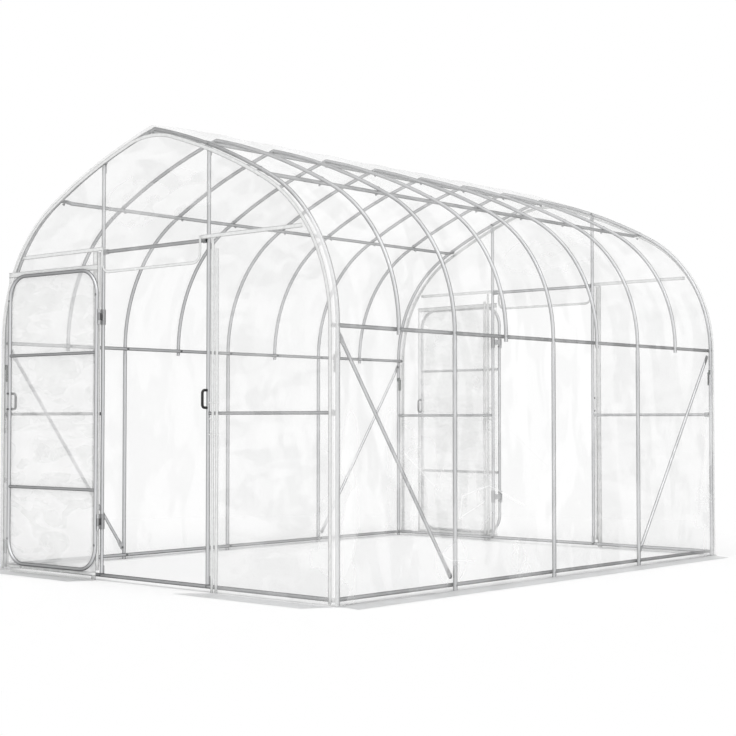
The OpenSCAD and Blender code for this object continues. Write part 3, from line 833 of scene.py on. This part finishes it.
def build_cover():
    """The main cover from skirt to skirt, bent round the end hoops"""
    film = film_settings()
    skirt_rows, wall_rows, shoulder_rows, roof_rows = 6, 48, 34, 32
    stops = [0.0]
    for length, steps in ((ROOF_LEN, roof_rows), (SHOULDER_LEN, shoulder_rows),
                          (LEG_H - SKIRT_TURN, wall_rows), (SKIRT_TURN, 2), (SKIRT, skirt_rows)):
        stops += [stops[-1] + length * (k + 1) / steps for k in range(steps)]
    stops = [-s for s in reversed(stops[1:])] + stops
    half = HALF_L + GABLE_FACE - COVER_CORNER
    steps = 8 * 14
    ends = [(half + COVER_CORNER * math.sin(a), COVER_CORNER * (1 - math.cos(a)))
            for a in (math.radians(d) for d in (30, 60, 90))]
    ends += [(half + COVER_CORNER, COVER_CORNER + COVER_INNER * k / 2) for k in (1, 2)]
    run = [(-half + 2 * half * k / steps, 0.0) for k in range(steps + 1)]
    lanes = [(-y, d) for y, d in reversed(ends)] + run + ends
    folds = pressed_folds(11, 54, ARCH_LEN, HALF_L, 0.12, 0.30)

    def place(i, j):
        s, (y, drop) = stops[i], lanes[j]
        flat_y = y + math.copysign(drop, y)
        side = 1 if s >= 0 else -1
        run = abs(s)
        wall = smooth_step((run - ROOF_LEN) / SHOULDER_LEN)
        off = COVER_OUT + (WALL_OUT - COVER_OUT) * wall
        height = ARCH_LEN - run
        bay = (y + HALF_L) / BAY
        between = abs(math.sin(math.pi * bay))
        if run > ROOF_LEN + SHOULDER_LEN + 0.03:
            bay = bay / 2
            between = max(between * 0.35, abs(math.sin(math.pi * bay)))
        between = 0.0 if abs(y) > HALF_L - 0.005 else smooth_step(between * 1.4)
        rail = min(1.0, max(0.0, abs(height - LEG_H) / 0.05))
        free = between * rail * smooth_step((height - 0.02) / 0.12) * (1 if drop == 0 else 0)
        dip = film.sag * (0.55 + 0.45 * soft_noise(s * 1.3, y * 1.3, 3)) * between
        dip += film.dent * fold_depth(folds, s, y)
        dip += 0.0022 * soft_noise(s * 5.0, y * 5.0, 5) + 0.0012 * soft_noise(s * 12.0, y * 12.0, 9)
        off -= min(0.0125, max(0.0, dip)) * free
        ridge = 0.2 + 0.8 * smooth_step((HALF_L + GABLE_FACE - abs(y)) / 0.20)
        off += film.ridge_lift * math.exp(-((run / 0.17) ** 2)) * ridge
        on_ground = height <= 0
        if not on_ground:
            x, z, _, _ = hoop_line(s, off - drop * smooth_step(height / 0.05))
            if height < SKIRT_TURN:
                z = 0.002 + 0.006 * (1 - math.cos(height / SKIRT_TURN * math.pi / 2))
            return Vector((x, y, z)), (s, flat_y)
        out = -height
        grow = FRONT_FLARE if y < 0 else -SKIRT_TAPER
        limit = HALF_L + GABLE_FACE * (1 - smooth_step(out / 0.03)) + grow * out / SKIRT
        y = max(-limit, min(limit, y * limit / (HALF_L + GABLE_FACE)))
        wave = 0.0012 + 0.0016 * (0.5 + 0.5 * soft_noise(y * 7.0, s * 3.0, 4)) * smooth_step(out / 0.04)
        wave += 0.003 * (1 - smooth_step(out / 0.012))
        return Vector((side * (HALF_W + WALL_OUT + out), y, wave)), (s, flat_y)

    def on_skirt(i, j):
        return min(abs(stops[i]), abs(stops[i + 1])) > ARCH_LEN - 0.001

    bm = sheet_mesh(len(stops) - 1, len(lanes) - 1, place, second=on_skirt, pressed=wall_pressed,
                    milky=cover_milky, towards=lambda c: Vector((c.x, 0, max(0.05, c.z - 0.8))))
    cover = finish_piece("main_cover", bm, "clear cover film", "tunnel",
                         second="ground skirt film")
    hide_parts("left_wall_film", "right_wall_film", "left_roof_film", "right_roof_film",
                "ground_skirts")
    return cover


def doorway_edge(x, end):
    """Distance from the middle to the gable film's edge beside the doorway, on the side that x is on"""
    return WIDE_EDGE_X if x * end < 0 else NARROW_EDGE_X


def gable_columns(end):
    """Places of the gable film's columns, with the doorway's edges among them"""
    wide = HALF_W + 0.004

    def outer(edge):
        return [edge + (wide - edge) * k / 26 for k in range(27)]

    def beside(edge):
        return [FLAP_X + (edge - FLAP_X) * k / 3 for k in (1, 2)]

    left, right = (doorway_edge(side, end) for side in (-1, 1))
    flap = [-FLAP_X + 2 * FLAP_X * k / 30 for k in range(31)]
    return [-x for x in reversed(beside(left) + outer(left))] + flap + beside(right) + outer(right)


def flap_floor(x):
    """Height of the flap's lower edge, with its rounded corners"""
    past = abs(x) - (FLAP_X - FLAP_R)
    if past <= 0:
        return FLAP_Z
    return FLAP_Z + FLAP_R - math.sqrt(max(0.0, FLAP_R ** 2 - min(past, FLAP_R) ** 2))


def build_gable_film(tag, end):
    """One gable's film: both side panels, the part above the doorway with its flap, and the skirts"""
    film = film_settings()
    columns = gable_columns(end)
    skirt_rows, low_rows, flap_rows, high_rows = 4, 50, 5, 18
    floor_row = skirt_rows + low_rows
    seam_row = floor_row + flap_rows
    rows = seam_row + high_rows
    folds = pressed_folds(23 if end < 0 else 29, 26, HALF_W, 1.1, 0.14, 0.32)

    def place(i, j):
        x = columns[i]
        top = arch_height(x, COVER_OUT - 0.013)
        seam = min(HEADER_Z, top * 0.96)
        floor = min(flap_floor(x) if abs(x) <= FLAP_X + 1e-6 else HEADER_Z - 0.02, top * 0.93)
        out = 0.0
        if j <= skirt_rows:
            out = SKIRT * (1 - j / skirt_rows)
            z = 0.0015
        elif j <= floor_row:
            z = floor * (j - skirt_rows) / low_rows
        elif j <= seam_row:
            z = floor + (seam - floor) * (j - floor_row) / flap_rows
        else:
            z = seam + (top - seam) * (j - seam_row) / high_rows
        if out > 0:
            near, far = doorway_edge(x, end), HALF_W
            share = (abs(x) - near) / (HALF_W + 0.004 - near)
            near += (SKIRT_TAPER if x * end > 0 else -SKIRT_FLARE) * out / SKIRT
            far -= SKIRT_TAPER * out / SKIRT
            nx = math.copysign(near + (far - near) * share, x)
            lift = 0.0014 + 0.0016 * (0.5 + 0.5 * soft_noise(x * 9.0, out * 6.0, 6)) * smooth_step(out / 0.04)
            return Vector((nx, end * (HALF_L + GABLE_FACE + out), lift)), (x, -out)
        edge = min(1.0, max(0.0, (top - z) / 0.08), max(0.0, z / 0.10))
        edge = min(edge, max(0.0, abs(abs(x) - POST_X) / 0.05) if z > HEADER_Z - 0.02 else 1.0)
        edge = min(edge, max(0.0, (HALF_W - abs(x)) / 0.06))
        edge = min(edge, max(0.0, abs(z - HEADER_Z) / 0.05)) if abs(x) < doorway_edge(x, end) else edge
        wave = soft_noise(x * 3.1, z * 1.7, 12 + end) + 0.5 * soft_noise(x * 7.0, z * 5.0, 15 + end)
        dip = film.ripple * (0.5 + wave) + 0.010 * fold_depth(folds, x, z - 1.0)
        dip = max(-0.002, min(0.012, dip)) * smooth_step(edge)
        return Vector((x, end * (HALF_L + GABLE_FACE - 0.0005 - dip), max(z, 0.0015))), (x, z)

    def keep(i, j):
        mid = (columns[i] + columns[i + 1]) / 2
        if abs(mid) < FLAP_X:
            return j >= floor_row
        if abs(mid) < doorway_edge(mid, end):
            return j >= seam_row
        return True

    def pressed(x, z):
        by_leg = smooth_step(1 - (HALF_W - abs(x)) / 0.16) * smooth_step((0.9 - z) / 0.3)
        under_peak = smooth_step(1 - math.hypot((x - 0.05) / 0.5, (z - 1.86) / 0.2))
        return max(0.0, by_leg * (0.6 + soft_noise(z * 4.0, x, 18)), 0.8 * under_peak)

    bm = sheet_mesh(len(columns) - 1, rows, place, keep, lambda c: Vector((0, end, 0.2)),
                    second=lambda i, j: j < skirt_rows, pressed=pressed)
    panel = finish_piece(f"{tag}_gable_film", bm, "clear gable film", "tunnel",
                         second="ground skirt film")
    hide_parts(f"{tag}_side_panels", f"{tag}_top_panel", "ground_skirts")
    return panel


def arch_hem_line(y):
    """Points and outward directions of the hem inside a gable's arch, rounded under the peak"""
    count = 150
    reach = ARCH_LEN - SKIRT_TURN
    near_s = ARCH_HEM_ROUND_X / math.sin(PEAK_A)
    _, near_z, near_nx, near_nz = hoop_line(near_s, -ARCH_HEM_IN)
    radius = ARCH_HEM_ROUND_X / near_nx
    line, across = [], []
    for k in range(count + 1):
        x, z, nx, nz = hoop_line(-reach + 2 * reach * k / count, -ARCH_HEM_IN)
        if abs(x) < ARCH_HEM_ROUND_X:
            nx = x / radius
            nz = math.sqrt(1 - nx * nx)
            z = near_z + radius * (nz - near_nz)
        line.append(Vector((x, y, z)))
        across.append(Vector((nx, 0, nz)))
    return line, across


def turned(path):
    """Directions across a path in the gable's plane"""
    across = []
    for k in range(len(path)):
        run = (path[min(len(path) - 1, k + 1)] - path[max(0, k - 1)]).normalized()
        across.append(Vector((run.z, 0, -run.x)))
    return across


def flap_line(y):
    """Points along the flap's sides, round its lower corners and along its lower edge"""
    inset = 0.007
    x, r = FLAP_X - inset, FLAP_R - inset
    path = [Vector((-x, y, HEADER_Z + 0.0215)), Vector((-x, y, HEADER_Z)), Vector((-x, y, HEADER_Z - 0.02))]
    for k in range(9):
        a = math.radians(180 + 90 * k / 8)
        path.append(Vector((-FLAP_X + FLAP_R + r * math.cos(a), y, FLAP_Z + FLAP_R + r * math.sin(a))))
    return path + [Vector((-p.x, p.y, p.z)) for p in reversed(path)]


def build_gable_hems(tag, end):
    """White hems of one gable: inside the arch, along the doorway and its flap, and over the seams"""
    film = film_settings()
    y = end * (HALF_L + GABLE_FACE + 0.0004)
    outwards = Vector((0, end, 0))
    bm = bmesh.new()
    line, across = arch_hem_line(y)
    band_mesh(bm, line, across, film.hem, HEM_THICK, [outwards] * len(line))
    # Up the doorway: a wide hem on one side, two hems with a clear gap on the other
    steps = 30
    hand = -end
    for x, wide, top in ((-NARROW_EDGE_X - 0.016, 0.032, HEADER_Z), (0.455, film.hem, HEADER_Z),
                         (0.4835, film.hem, HEADER_Z - 0.05)):
        line = [Vector((hand * (x + 0.003 * math.sin(math.pi * k / steps)), y,
                        0.004 + (top - 0.004) * k / steps)) for k in range(steps + 1)]
        band_mesh(bm, line, [Vector((1, 0, 0))] * len(line), wide, HEM_THICK, [outwards] * len(line))
    # The strip that wraps the post beside the wide hem
    depth, foot = (GABLE_FACE + LEG_R) / 2, 0.05
    line = [Vector((-hand * (NARROW_EDGE_X - 0.0008), end * (HALF_L + depth),
                    foot + (HEADER_Z - foot) * k / steps)) for k in range(steps + 1)]
    band_mesh(bm, line, [Vector((0, 1, 0))] * len(line), GABLE_FACE - LEG_R, 0.0008,
              [Vector((hand, 0, 0))] * len(line))
    path = flap_line(y)
    band_mesh(bm, path, turned(path), 0.014, HEM_THICK, [outwards] * len(path))
    # Seams at header height
    for side in (-1, 1):
        x0, x1 = side * (FLAP_X - 0.007), side * SEAM_END_X
        line = [Vector((x0 + (x1 - x0) * k / 20, y, HEADER_Z + SEAM_OVER)) for k in range(21)]
        band_mesh(bm, line, [Vector((0, 0, 1))] * 21, SEAM_WIDE, HEM_THICK, [outwards] * 21)
    # Thin ties from the post to the outer hem
    for z in TIE_HEIGHTS:
        path = [Vector((hand * x, end * (HALF_L + out), z)) for x, out in (
            (POST_X + 0.0066, 0.0072), (POST_X + 0.0150, 0.0140), (WIDE_EDGE_X - 0.0150, 0.0265),
            (WIDE_EDGE_X, GABLE_FACE + 0.0012), (0.500, GABLE_FACE + 0.0016))]
        lift = [Vector((hand * x, end * out, 0)) for x, out in ((0.7, 0.7), (-0.4, 0.9), (-0.4, 0.9))]
        band_mesh(bm, path, [Vector((0, 0, 1))] * len(path), TIE_WIDE, HEM_THICK, lift + [outwards] * 2)
    return finish_piece(f"{tag}_gable_hems", bm, "welded hem", "tunnel")


def door_matrix(end):
    """Takes a piece made on the closed front door to the open rest position of one door"""
    pin = Vector((HINGE_X, -HALF_L - HINGE_OUT, 0))
    swing = Matrix.Translation(pin) @ Matrix.Rotation(-OPEN_ANGLE, 4, "Z") @ Matrix.Translation(-pin)
    return swing if end < 0 else Matrix.Scale(-1, 4, (0, 1, 0)) @ swing


def build_door_film(tag, end):
    """A door's film, pulled over the frame and creased, with its hems"""
    film = film_settings()
    place_door = door_matrix(end)
    y = -HALF_L - HINGE_OUT + HINGE_SET - TUBE_R - 0.0021
    x0, x1 = -DOOR_W / 2 + 0.0105, DOOR_W / 2 + DOOR_OVER
    z0, z1 = DOOR_LOW - DOOR_OVER, DOOR_HIGH + DOOR_OVER
    columns, rows = 30, 66
    folds = pressed_folds(31 if end < 0 else 37, 14, 0.40, 0.80, 0.12, 0.26)

    def place(i, j):
        x, z = x0 + (x1 - x0) * i / columns, z0 + (z1 - z0) * j / rows
        edge = min(abs(x + DOOR_W / 2), abs(x - DOOR_W / 2), abs(z - DOOR_LOW), abs(z - DOOR_HIGH),
                   *(abs(z - bar) for bar in DOOR_BARS))
        inside = abs(x) < DOOR_W / 2 and DOOR_LOW < z < DOOR_HIGH
        free = smooth_step((edge - 0.012) / 0.05) if inside else 0.0
        dip = film.ripple * (0.6 + soft_noise(x * 4.0, z * 2.6, 21 + end)) + 0.008 * fold_depth(
            folds, x, z - 0.8)
        dip = max(0.0, min(0.012, dip)) * free
        flare = 0.0 if inside else 0.0012 * (0.5 + 0.5 * soft_noise(x * 14.0, z * 14.0, 25))
        return place_door @ Vector((x, y + dip - flare + 0.0002, z)), (x, z)

    def pressed(x, z):
        low_fold = smooth_step(1 - abs(z - 0.135 - 0.05 * math.sin(x * 4.0)) / 0.06)
        return 0.35 + 0.6 * soft_noise(x * 2.0, z * 1.2, 28) + 0.8 * low_fold

    facing = (place_door.to_3x3() @ Vector((0, -1, 0))).normalized()
    bm = sheet_mesh(columns, rows, place, towards=lambda c: facing, pressed=pressed)
    sheet = finish_piece(f"{tag}_door_sheet", bm, "clear door film", f"{tag}_door")
    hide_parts(f"{tag}_door_film")

    bm = bmesh.new()
    out = Vector((0, -1, 0))
    face = y - 0.0006
    for z, wide in ((z1 - 0.014, 0.028), (z0 + 0.008, 0.015)):
        line = [Vector((x0 + (x1 - x0) * k / 16, face, z)) for k in range(17)]
        band_mesh(bm, line, [Vector((0, 0, 1))] * 17, wide, DOOR_HEM_THICK, [out] * 17)
    line = [Vector((x1 - 0.006, face, z0 + 0.016 + (z1 - z0 - 0.038) * k / 24)) for k in range(25)]
    band_mesh(bm, line, [Vector((1, 0, 0))] * 25, 0.012, DOOR_HEM_THICK, [out] * 25)
    bmesh.ops.transform(bm, matrix=place_door, verts=bm.verts[:])
    bmesh.ops.recalc_face_normals(bm, faces=bm.faces[:])
    hems = finish_piece(f"{tag}_door_hems", bm, "welded hem", f"{tag}_door")
    return sheet


# Fasteners and fittings


def fastener_templates():
    metal = frame_settings()
    r, n = metal.head_d / 2, metal.nut_d / 2
    return {
        "head": lathe([(0, 0.0019), (r * 0.45, 0.0018), (r * 0.8, 0.0013), (r, 0.0004), (r, -0.0008),
                       (0, -0.0008)], 16),
        "washer": lathe([(0, 0.0012), (n * 1.25, 0.0012), (n * 1.25, -0.0006), (0, -0.0006)], 18),
        "nut": prism(6, n, 0.0052, 0.0008),
        "screw_end": lathe([(0, 0.0092), (0.0026, 0.0090), (0.0034, 0.0080), (0.0034, 0.0040),
                            (0.0060, 0.0038), (0.0060, -0.0006), (0, -0.0006)], 14),
        "stub": lathe([(0, 0.0088), (0.0026, 0.0086), (0.0029, 0.0082), (0.0029, 0.0), (0, 0.0)], 12),
    }


def bolt(places, head_at, nut_at, direction):
    """Adds a bolt: its head at head_at facing along direction, its washer, nut and end at nut_at"""
    direction = Vector(direction)
    if head_at is not None:
        places.append(("head", stand(head_at, direction)))
    if nut_at is not None:
        for part, lift in (("washer", 0.0), ("nut", 0.0010), ("stub", 0.0)):
            places.append((part, stand(Vector(nut_at) - direction * lift, -direction)))


def build_tunnel_bolts():
    """Bolts of the tunnel frame: side rails, base rails, purlins, ridge, braces and posts"""
    places = []
    for i in range(9):
        y = -HALF_L + BAY * i
        for side in (-1, 1):
            bolt(places, (side * (HALF_W + TUBE_R), y, RAIL_Z), (side * (RAIL_X - TUBE_R), y, RAIL_Z),
                 (side, 0, 0))
            drop = TUBE_R - 0.0002
            low = drop + SEAT_GAP + 2 * TUBE_R
            s = side * purlin_run()
            x, z, nx, nz = hoop_line(s, drop)
            u, v, _, _ = hoop_line(s, -low)
            bolt(places, (x, y, z), (u, y, v), (nx, 0, nz))
            if i % 2 == 0:
                inset = 0.0 if 0 < i < 8 else math.copysign(0.030, -y)
                bolt(places, None if inset else (side * (HALF_W + LEG_R), y, BASE_Z),
                     (side * (RAIL_X - TUBE_R), y + inset, BASE_Z), (side, 0, 0))
        bolt(places, None, (0, y, PEAK_Z - 0.0290), (0, 0, 1))
    tab_x = HALF_W - LEG_R - SEAT_GAP - TAB_THICK
    for side in (-1, 1):
        for end in (-1, 1):
            for y, z in ((HALF_L - BRACE_END - TUBE_R, RAIL_Z - TUBE_R - TAB_DROP - BRACE_END),
                         (HALF_L - 2 * BAY + BRACE_END + TUBE_R, BASE_Z + TUBE_R + TAB_DROP + BRACE_END)):
                bolt(places, (side * (tab_x + TAB_THICK), end * y, z), (side * tab_x, end * y, z), (side, 0, 0))
    for end in (-1, 1):
        y = end * (HALF_L - TUBE_R - SEAT_GAP - TAB_THICK)
        for side in (-1, 1):
            for z in (BASE_Z, arch_height(POST_X, 0)):
                bolt(places, None, (side * POST_X, y, z), (0, end, 0))
                bolt(places, (side * POST_X, end * (HALF_L + TUBE_R), z), None, (0, end, 0))
    return finish_piece("frame_bolts", scatter(fastener_templates(), places), "zinc-plated bolt", "tunnel",
                        smooth=False)


def purlin_run():
    """Distance along the hoops' line from the peak to a purlin"""
    return ROOF_R * (PEAK_A - math.acos((PURLIN_X - ROOF_C[0]) / ROOF_R))


def build_sockets():
    """Dark moulded sockets on the header and mid rail ends"""
    sleeve = lathe([(0, 0.0), (0.0122, 0.0), (0.0134, 0.0010), (0.0134, 0.0262), (0.0126, 0.0276),
                    (0.0100, 0.0284), (0, 0.0284)], 28)
    rib = lathe([(0, 0.0), (0.0140, 0.0), (0.0143, 0.0008), (0.0143, 0.0034), (0.0140, 0.0042),
                 (0, 0.0042)], 28)
    places = []
    for end in (-1, 1):
        y = end * HALF_L
        for side in (-1, 1):
            for x, z in ((POST_X - TUBE_R - SEAT_GAP, HEADER_Z), (HALF_W - LEG_R - SEAT_GAP, MID_RAIL_Z)):
                for part in ("sleeve", "rib"):
                    places.append((part, stand((side * x, y, z), (-side, 0, 0))))
    bm = scatter({"sleeve": sleeve, "rib": rib}, places)
    return finish_piece("rail_sockets", bm, "dark socket", "tunnel")


def build_tube_ends():
    """Dark plugs with a lighter centre in the ends of the side rails and the ridge beam"""
    rim = lathe([(0, 0.0), (0.0050, 0.0), (0.0054, 0.0010), (0.0092, 0.0010), (0.0097, 0.0), (0.0097, -0.004),
                 (0, -0.004)], 24)
    disc = lathe([(0, 0.0006), (0.0050, 0.0006), (0.0050, -0.001), (0, -0.001)], 24)
    spots = [((side * RAIL_X, end * (HALF_L + 0.011), RAIL_Z), end) for side in (-1, 1) for end in (-1, 1)]
    spots += [((0, end * (HALF_L + TUBE_R), PEAK_Z - 0.0193), end) for end in (-1, 1)]
    rims = scatter({"rim": rim}, [("rim", stand(p, (0, e, 0))) for p, e in spots])
    discs = scatter({"disc": disc}, [("disc", stand(p, (0, e, 0))) for p, e in spots])
    finish_piece("rail_end_plugs", rims, "dark socket", "tunnel")
    return finish_piece("rail_end_centres", discs, "hinge plate", "tunnel")


def build_door_fasteners(tag, end):
    """Screws of one door: its handle's, which end on the inner side, its corners' and its hinge leaves'"""
    y = -HALF_L - HINGE_OUT + HINGE_SET
    swing = door_matrix(end)
    ends = [("screw_end", stand((DOOR_W / 2, y + TUBE_R, HANDLE_Z + way * HANDLE_L / 2), (0, 1, 0)))
            for way in (-1, 1)]
    heads = []
    for z in HINGE_Z:
        for way in (-1, 1):
            heads.append(("head", stand((-DOOR_W / 2, y - TUBE_R, z + way * 0.0295), (0, -1, 0))))
    for side in (-1, 1):
        for z in (DOOR_HIGH - 0.127, DOOR_LOW + 0.127):
            heads.append(("head", stand((side * DOOR_W / 2, y + TUBE_R - 0.0002, z), (0, 1, 0))))
    for name, places, finish in ((f"{tag}_door_screws", heads, "zinc-plated bolt"),
                                 (f"{tag}_handle_screws", ends, "grey handle")):
        bm = scatter(fastener_templates(), places)
        bmesh.ops.transform(bm, matrix=swing, verts=bm.verts[:])
        bmesh.ops.recalc_face_normals(bm, faces=bm.faces[:])
        finish_piece(name, bm, finish, f"{tag}_door", smooth=False)


# Stage


def seen_directly(tree):
    """1 for what the camera sees, straight or through glass and gloss, and 0 for light"""
    rays = tree.nodes.new("ShaderNodeLightPath")
    seen = sums(tree, "MAXIMUM", rays.outputs["Is Camera Ray"], rays.outputs["Is Glossy Ray"])
    return sums(tree, "MAXIMUM", seen, rays.outputs["Is Transmission Ray"])


def floor_material():
    """Pale floor that keeps its shadows and turns into the white backdrop away from the object"""
    mat, tree, shader = new_material("pale floor")
    shader.inputs["Base Color"].default_value = (0.96, 0.96, 0.96, 1.0)
    shader.inputs["Roughness"].default_value = 0.9
    place = tree.nodes.new("ShaderNodeTexCoord")
    away = add(tree, "ShaderNodeVectorMath", operation="LENGTH")
    tree.links.new(place.outputs["Object"], away.inputs[0])
    far = remap(tree, away.outputs["Value"], *FLOOR_FADE)
    white = add(tree, "ShaderNodeEmission", Strength=1.0)
    blend = tree.nodes.new("ShaderNodeMixShader")
    tree.links.new(sums(tree, "MULTIPLY", far, seen_directly(tree)), blend.inputs["Fac"])
    tree.links.new(shader.outputs["BSDF"], blend.inputs[1])
    tree.links.new(white.outputs["Emission"], blend.inputs[2])
    out = next(made for made in tree.nodes if made.type == "OUTPUT_MATERIAL")
    tree.links.new(blend.outputs["Shader"], out.inputs["Surface"])
    return mat


def build_stage():
    """Pale floor, soft lights and a camera at the height of a person's hip"""
    bm = bmesh.new()
    bmesh.ops.create_grid(bm, x_segments=1, y_segments=1, size=60.0)
    mesh = bpy.data.meshes.new("floor")
    bm.to_mesh(mesh)
    bm.free()
    floor = bpy.data.objects.new("floor", mesh)
    bpy.context.scene.collection.objects.link(floor)
    mesh.materials.append(floor_material())

    world = bpy.data.worlds.new("studio")
    bpy.context.scene.world = world
    world.use_nodes = True
    tree = world.node_tree
    tree.nodes.clear()
    room = add(tree, "ShaderNodeBackground", Strength=ROOM_LIGHT)
    backdrop = add(tree, "ShaderNodeBackground", Strength=1.0)
    choose = tree.nodes.new("ShaderNodeMixShader")
    out = tree.nodes.new("ShaderNodeOutputWorld")
    tree.links.new(seen_directly(tree), choose.inputs["Fac"])
    tree.links.new(room.outputs["Background"], choose.inputs[1])
    tree.links.new(backdrop.outputs["Background"], choose.inputs[2])
    tree.links.new(choose.outputs["Shader"], out.inputs["Surface"])
    for background in (room, backdrop):
        background.inputs["Color"].default_value = (1.0, 1.0, 1.0, 1.0)

    for name, at, strength, spread in LAMPS:
        data = bpy.data.lights.new(name, "SUN")
        data.energy = strength
        data.angle = math.radians(spread)
        lamp = bpy.data.objects.new(name, data)
        lamp.location = at
        lamp.rotation_euler = (-Vector(at)).to_track_quat("-Z", "Y").to_euler()
        bpy.context.scene.collection.objects.link(lamp)

    data = bpy.data.cameras.new("camera")
    data.lens = CAMERA_LENS
    data.sensor_width = 36.0
    data.clip_end = 200.0
    camera = bpy.data.objects.new("camera", data)
    camera.location = CAMERA_AT
    camera.rotation_euler = (math.pi / 2 + CAMERA_UP, 0.0, CAMERA_TURN)
    bpy.context.scene.collection.objects.link(camera)
    bpy.context.scene.camera = camera
    bpy.context.scene.view_settings.view_transform = "Standard"


# Operators


class GREENHOUSE_OT_frame_finish(bpy.types.Operator):
    """Give the tubes, hinges, handles and straps their finishes"""

    bl_idname = "greenhouse.frame_finish"
    bl_label = "Frame finishes"

    def execute(self, context):
        finishes = {name: "galvanised tube" for name in FRAME_TUBES}
        finishes.update({f"{tag}_hinge_brackets": "hinge plate" for tag in ("front", "rear")})
        finishes.update({f"{tag}_door_handle": "grey handle" for tag in ("front", "rear")})
        finishes["post_handles"] = "black handle"
        finishes["corner_straps"] = "strap webbing"
        for name, finish in finishes.items():
            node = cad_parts[name]
            for entry in node.material_slots:
                entry.material = material(finish)
        return {"FINISHED"}


class GREENHOUSE_OT_cover(bpy.types.Operator):
    """Build the main cover from skirt to skirt"""

    bl_idname = "greenhouse.cover"
    bl_label = "Main cover"

    def execute(self, context):
        cover = build_cover()
        return {"FINISHED"}


class GREENHOUSE_OT_gables(bpy.types.Operator):
    """Build the film, hems and seams of both gables"""

    bl_idname = "greenhouse.gables"
    bl_label = "Gable film and hems"

    def execute(self, context):
        for tag, end in (("front", -1), ("rear", 1)):
            panel = build_gable_film(tag, end)
            hems = build_gable_hems(tag, end)
        return {"FINISHED"}


class GREENHOUSE_OT_door_film(bpy.types.Operator):
    """Build the film and hems of both doors"""

    bl_idname = "greenhouse.door_film"
    bl_label = "Door film"

    def execute(self, context):
        for tag, end in (("front", -1), ("rear", 1)):
            build_door_film(tag, end)
        return {"FINISHED"}


class GREENHOUSE_OT_fasteners(bpy.types.Operator):
    """Build the bolts, nuts and screws"""

    bl_idname = "greenhouse.fasteners"
    bl_label = "Bolts and screws"

    def execute(self, context):
        build_tunnel_bolts()
        for tag, end in (("front", -1), ("rear", 1)):
            build_door_fasteners(tag, end)
        return {"FINISHED"}


class GREENHOUSE_OT_fittings(bpy.types.Operator):
    """Build the sockets of the gable rails and the plugs of the tube ends"""

    bl_idname = "greenhouse.fittings"
    bl_label = "Sockets and plugs"

    def execute(self, context):
        build_sockets()
        build_tube_ends()
        return {"FINISHED"}


class GREENHOUSE_OT_stage(bpy.types.Operator):
    """Build the floor, the lights and the camera"""

    bl_idname = "greenhouse.stage"
    bl_label = "Stage"

    def execute(self, context):
        build_stage()
        return {"FINISHED"}


class GREENHOUSE_PT_panel(bpy.types.Panel):
    """Lists the settings and the steps of the greenhouse"""

    bl_label = "Tunnel Greenhouse"
    bl_idname = "GREENHOUSE_PT_panel"
    bl_space_type = "VIEW_3D"
    bl_region_type = "UI"
    bl_category = "Greenhouse"

    def draw(self, context):
        for group in (context.scene.greenhouse_film, context.scene.greenhouse_frame):
            box = self.layout.box()
            for name in group.__annotations__:
                box.prop(group, name)
        for step in STEPS:
            self.layout.operator(step.bl_idname)


STEPS = (
    GREENHOUSE_OT_frame_finish, GREENHOUSE_OT_cover, GREENHOUSE_OT_gables, GREENHOUSE_OT_door_film,
    GREENHOUSE_OT_fasteners, GREENHOUSE_OT_fittings, GREENHOUSE_OT_stage,
)
CLASSES = (FilmSettings, FrameSettings, *STEPS, GREENHOUSE_PT_panel)


def register():
    for kind in CLASSES:
        bpy.utils.register_class(kind)
    bpy.types.Scene.greenhouse_film = bpy.props.PointerProperty(type=FilmSettings)
    bpy.types.Scene.greenhouse_frame = bpy.props.PointerProperty(type=FrameSettings)


def unregister():
    del bpy.types.Scene.greenhouse_frame
    del bpy.types.Scene.greenhouse_film
    for kind in reversed(CLASSES):
        bpy.utils.unregister_class(kind)


def main():
    register()
    bpy.ops.greenhouse.frame_finish()
    bpy.ops.greenhouse.cover()
    bpy.ops.greenhouse.gables()
    bpy.ops.greenhouse.door_film()
    bpy.ops.greenhouse.fasteners()
    bpy.ops.greenhouse.fittings()
    bpy.ops.greenhouse.stage()


if __name__ == "__main__":
    main()
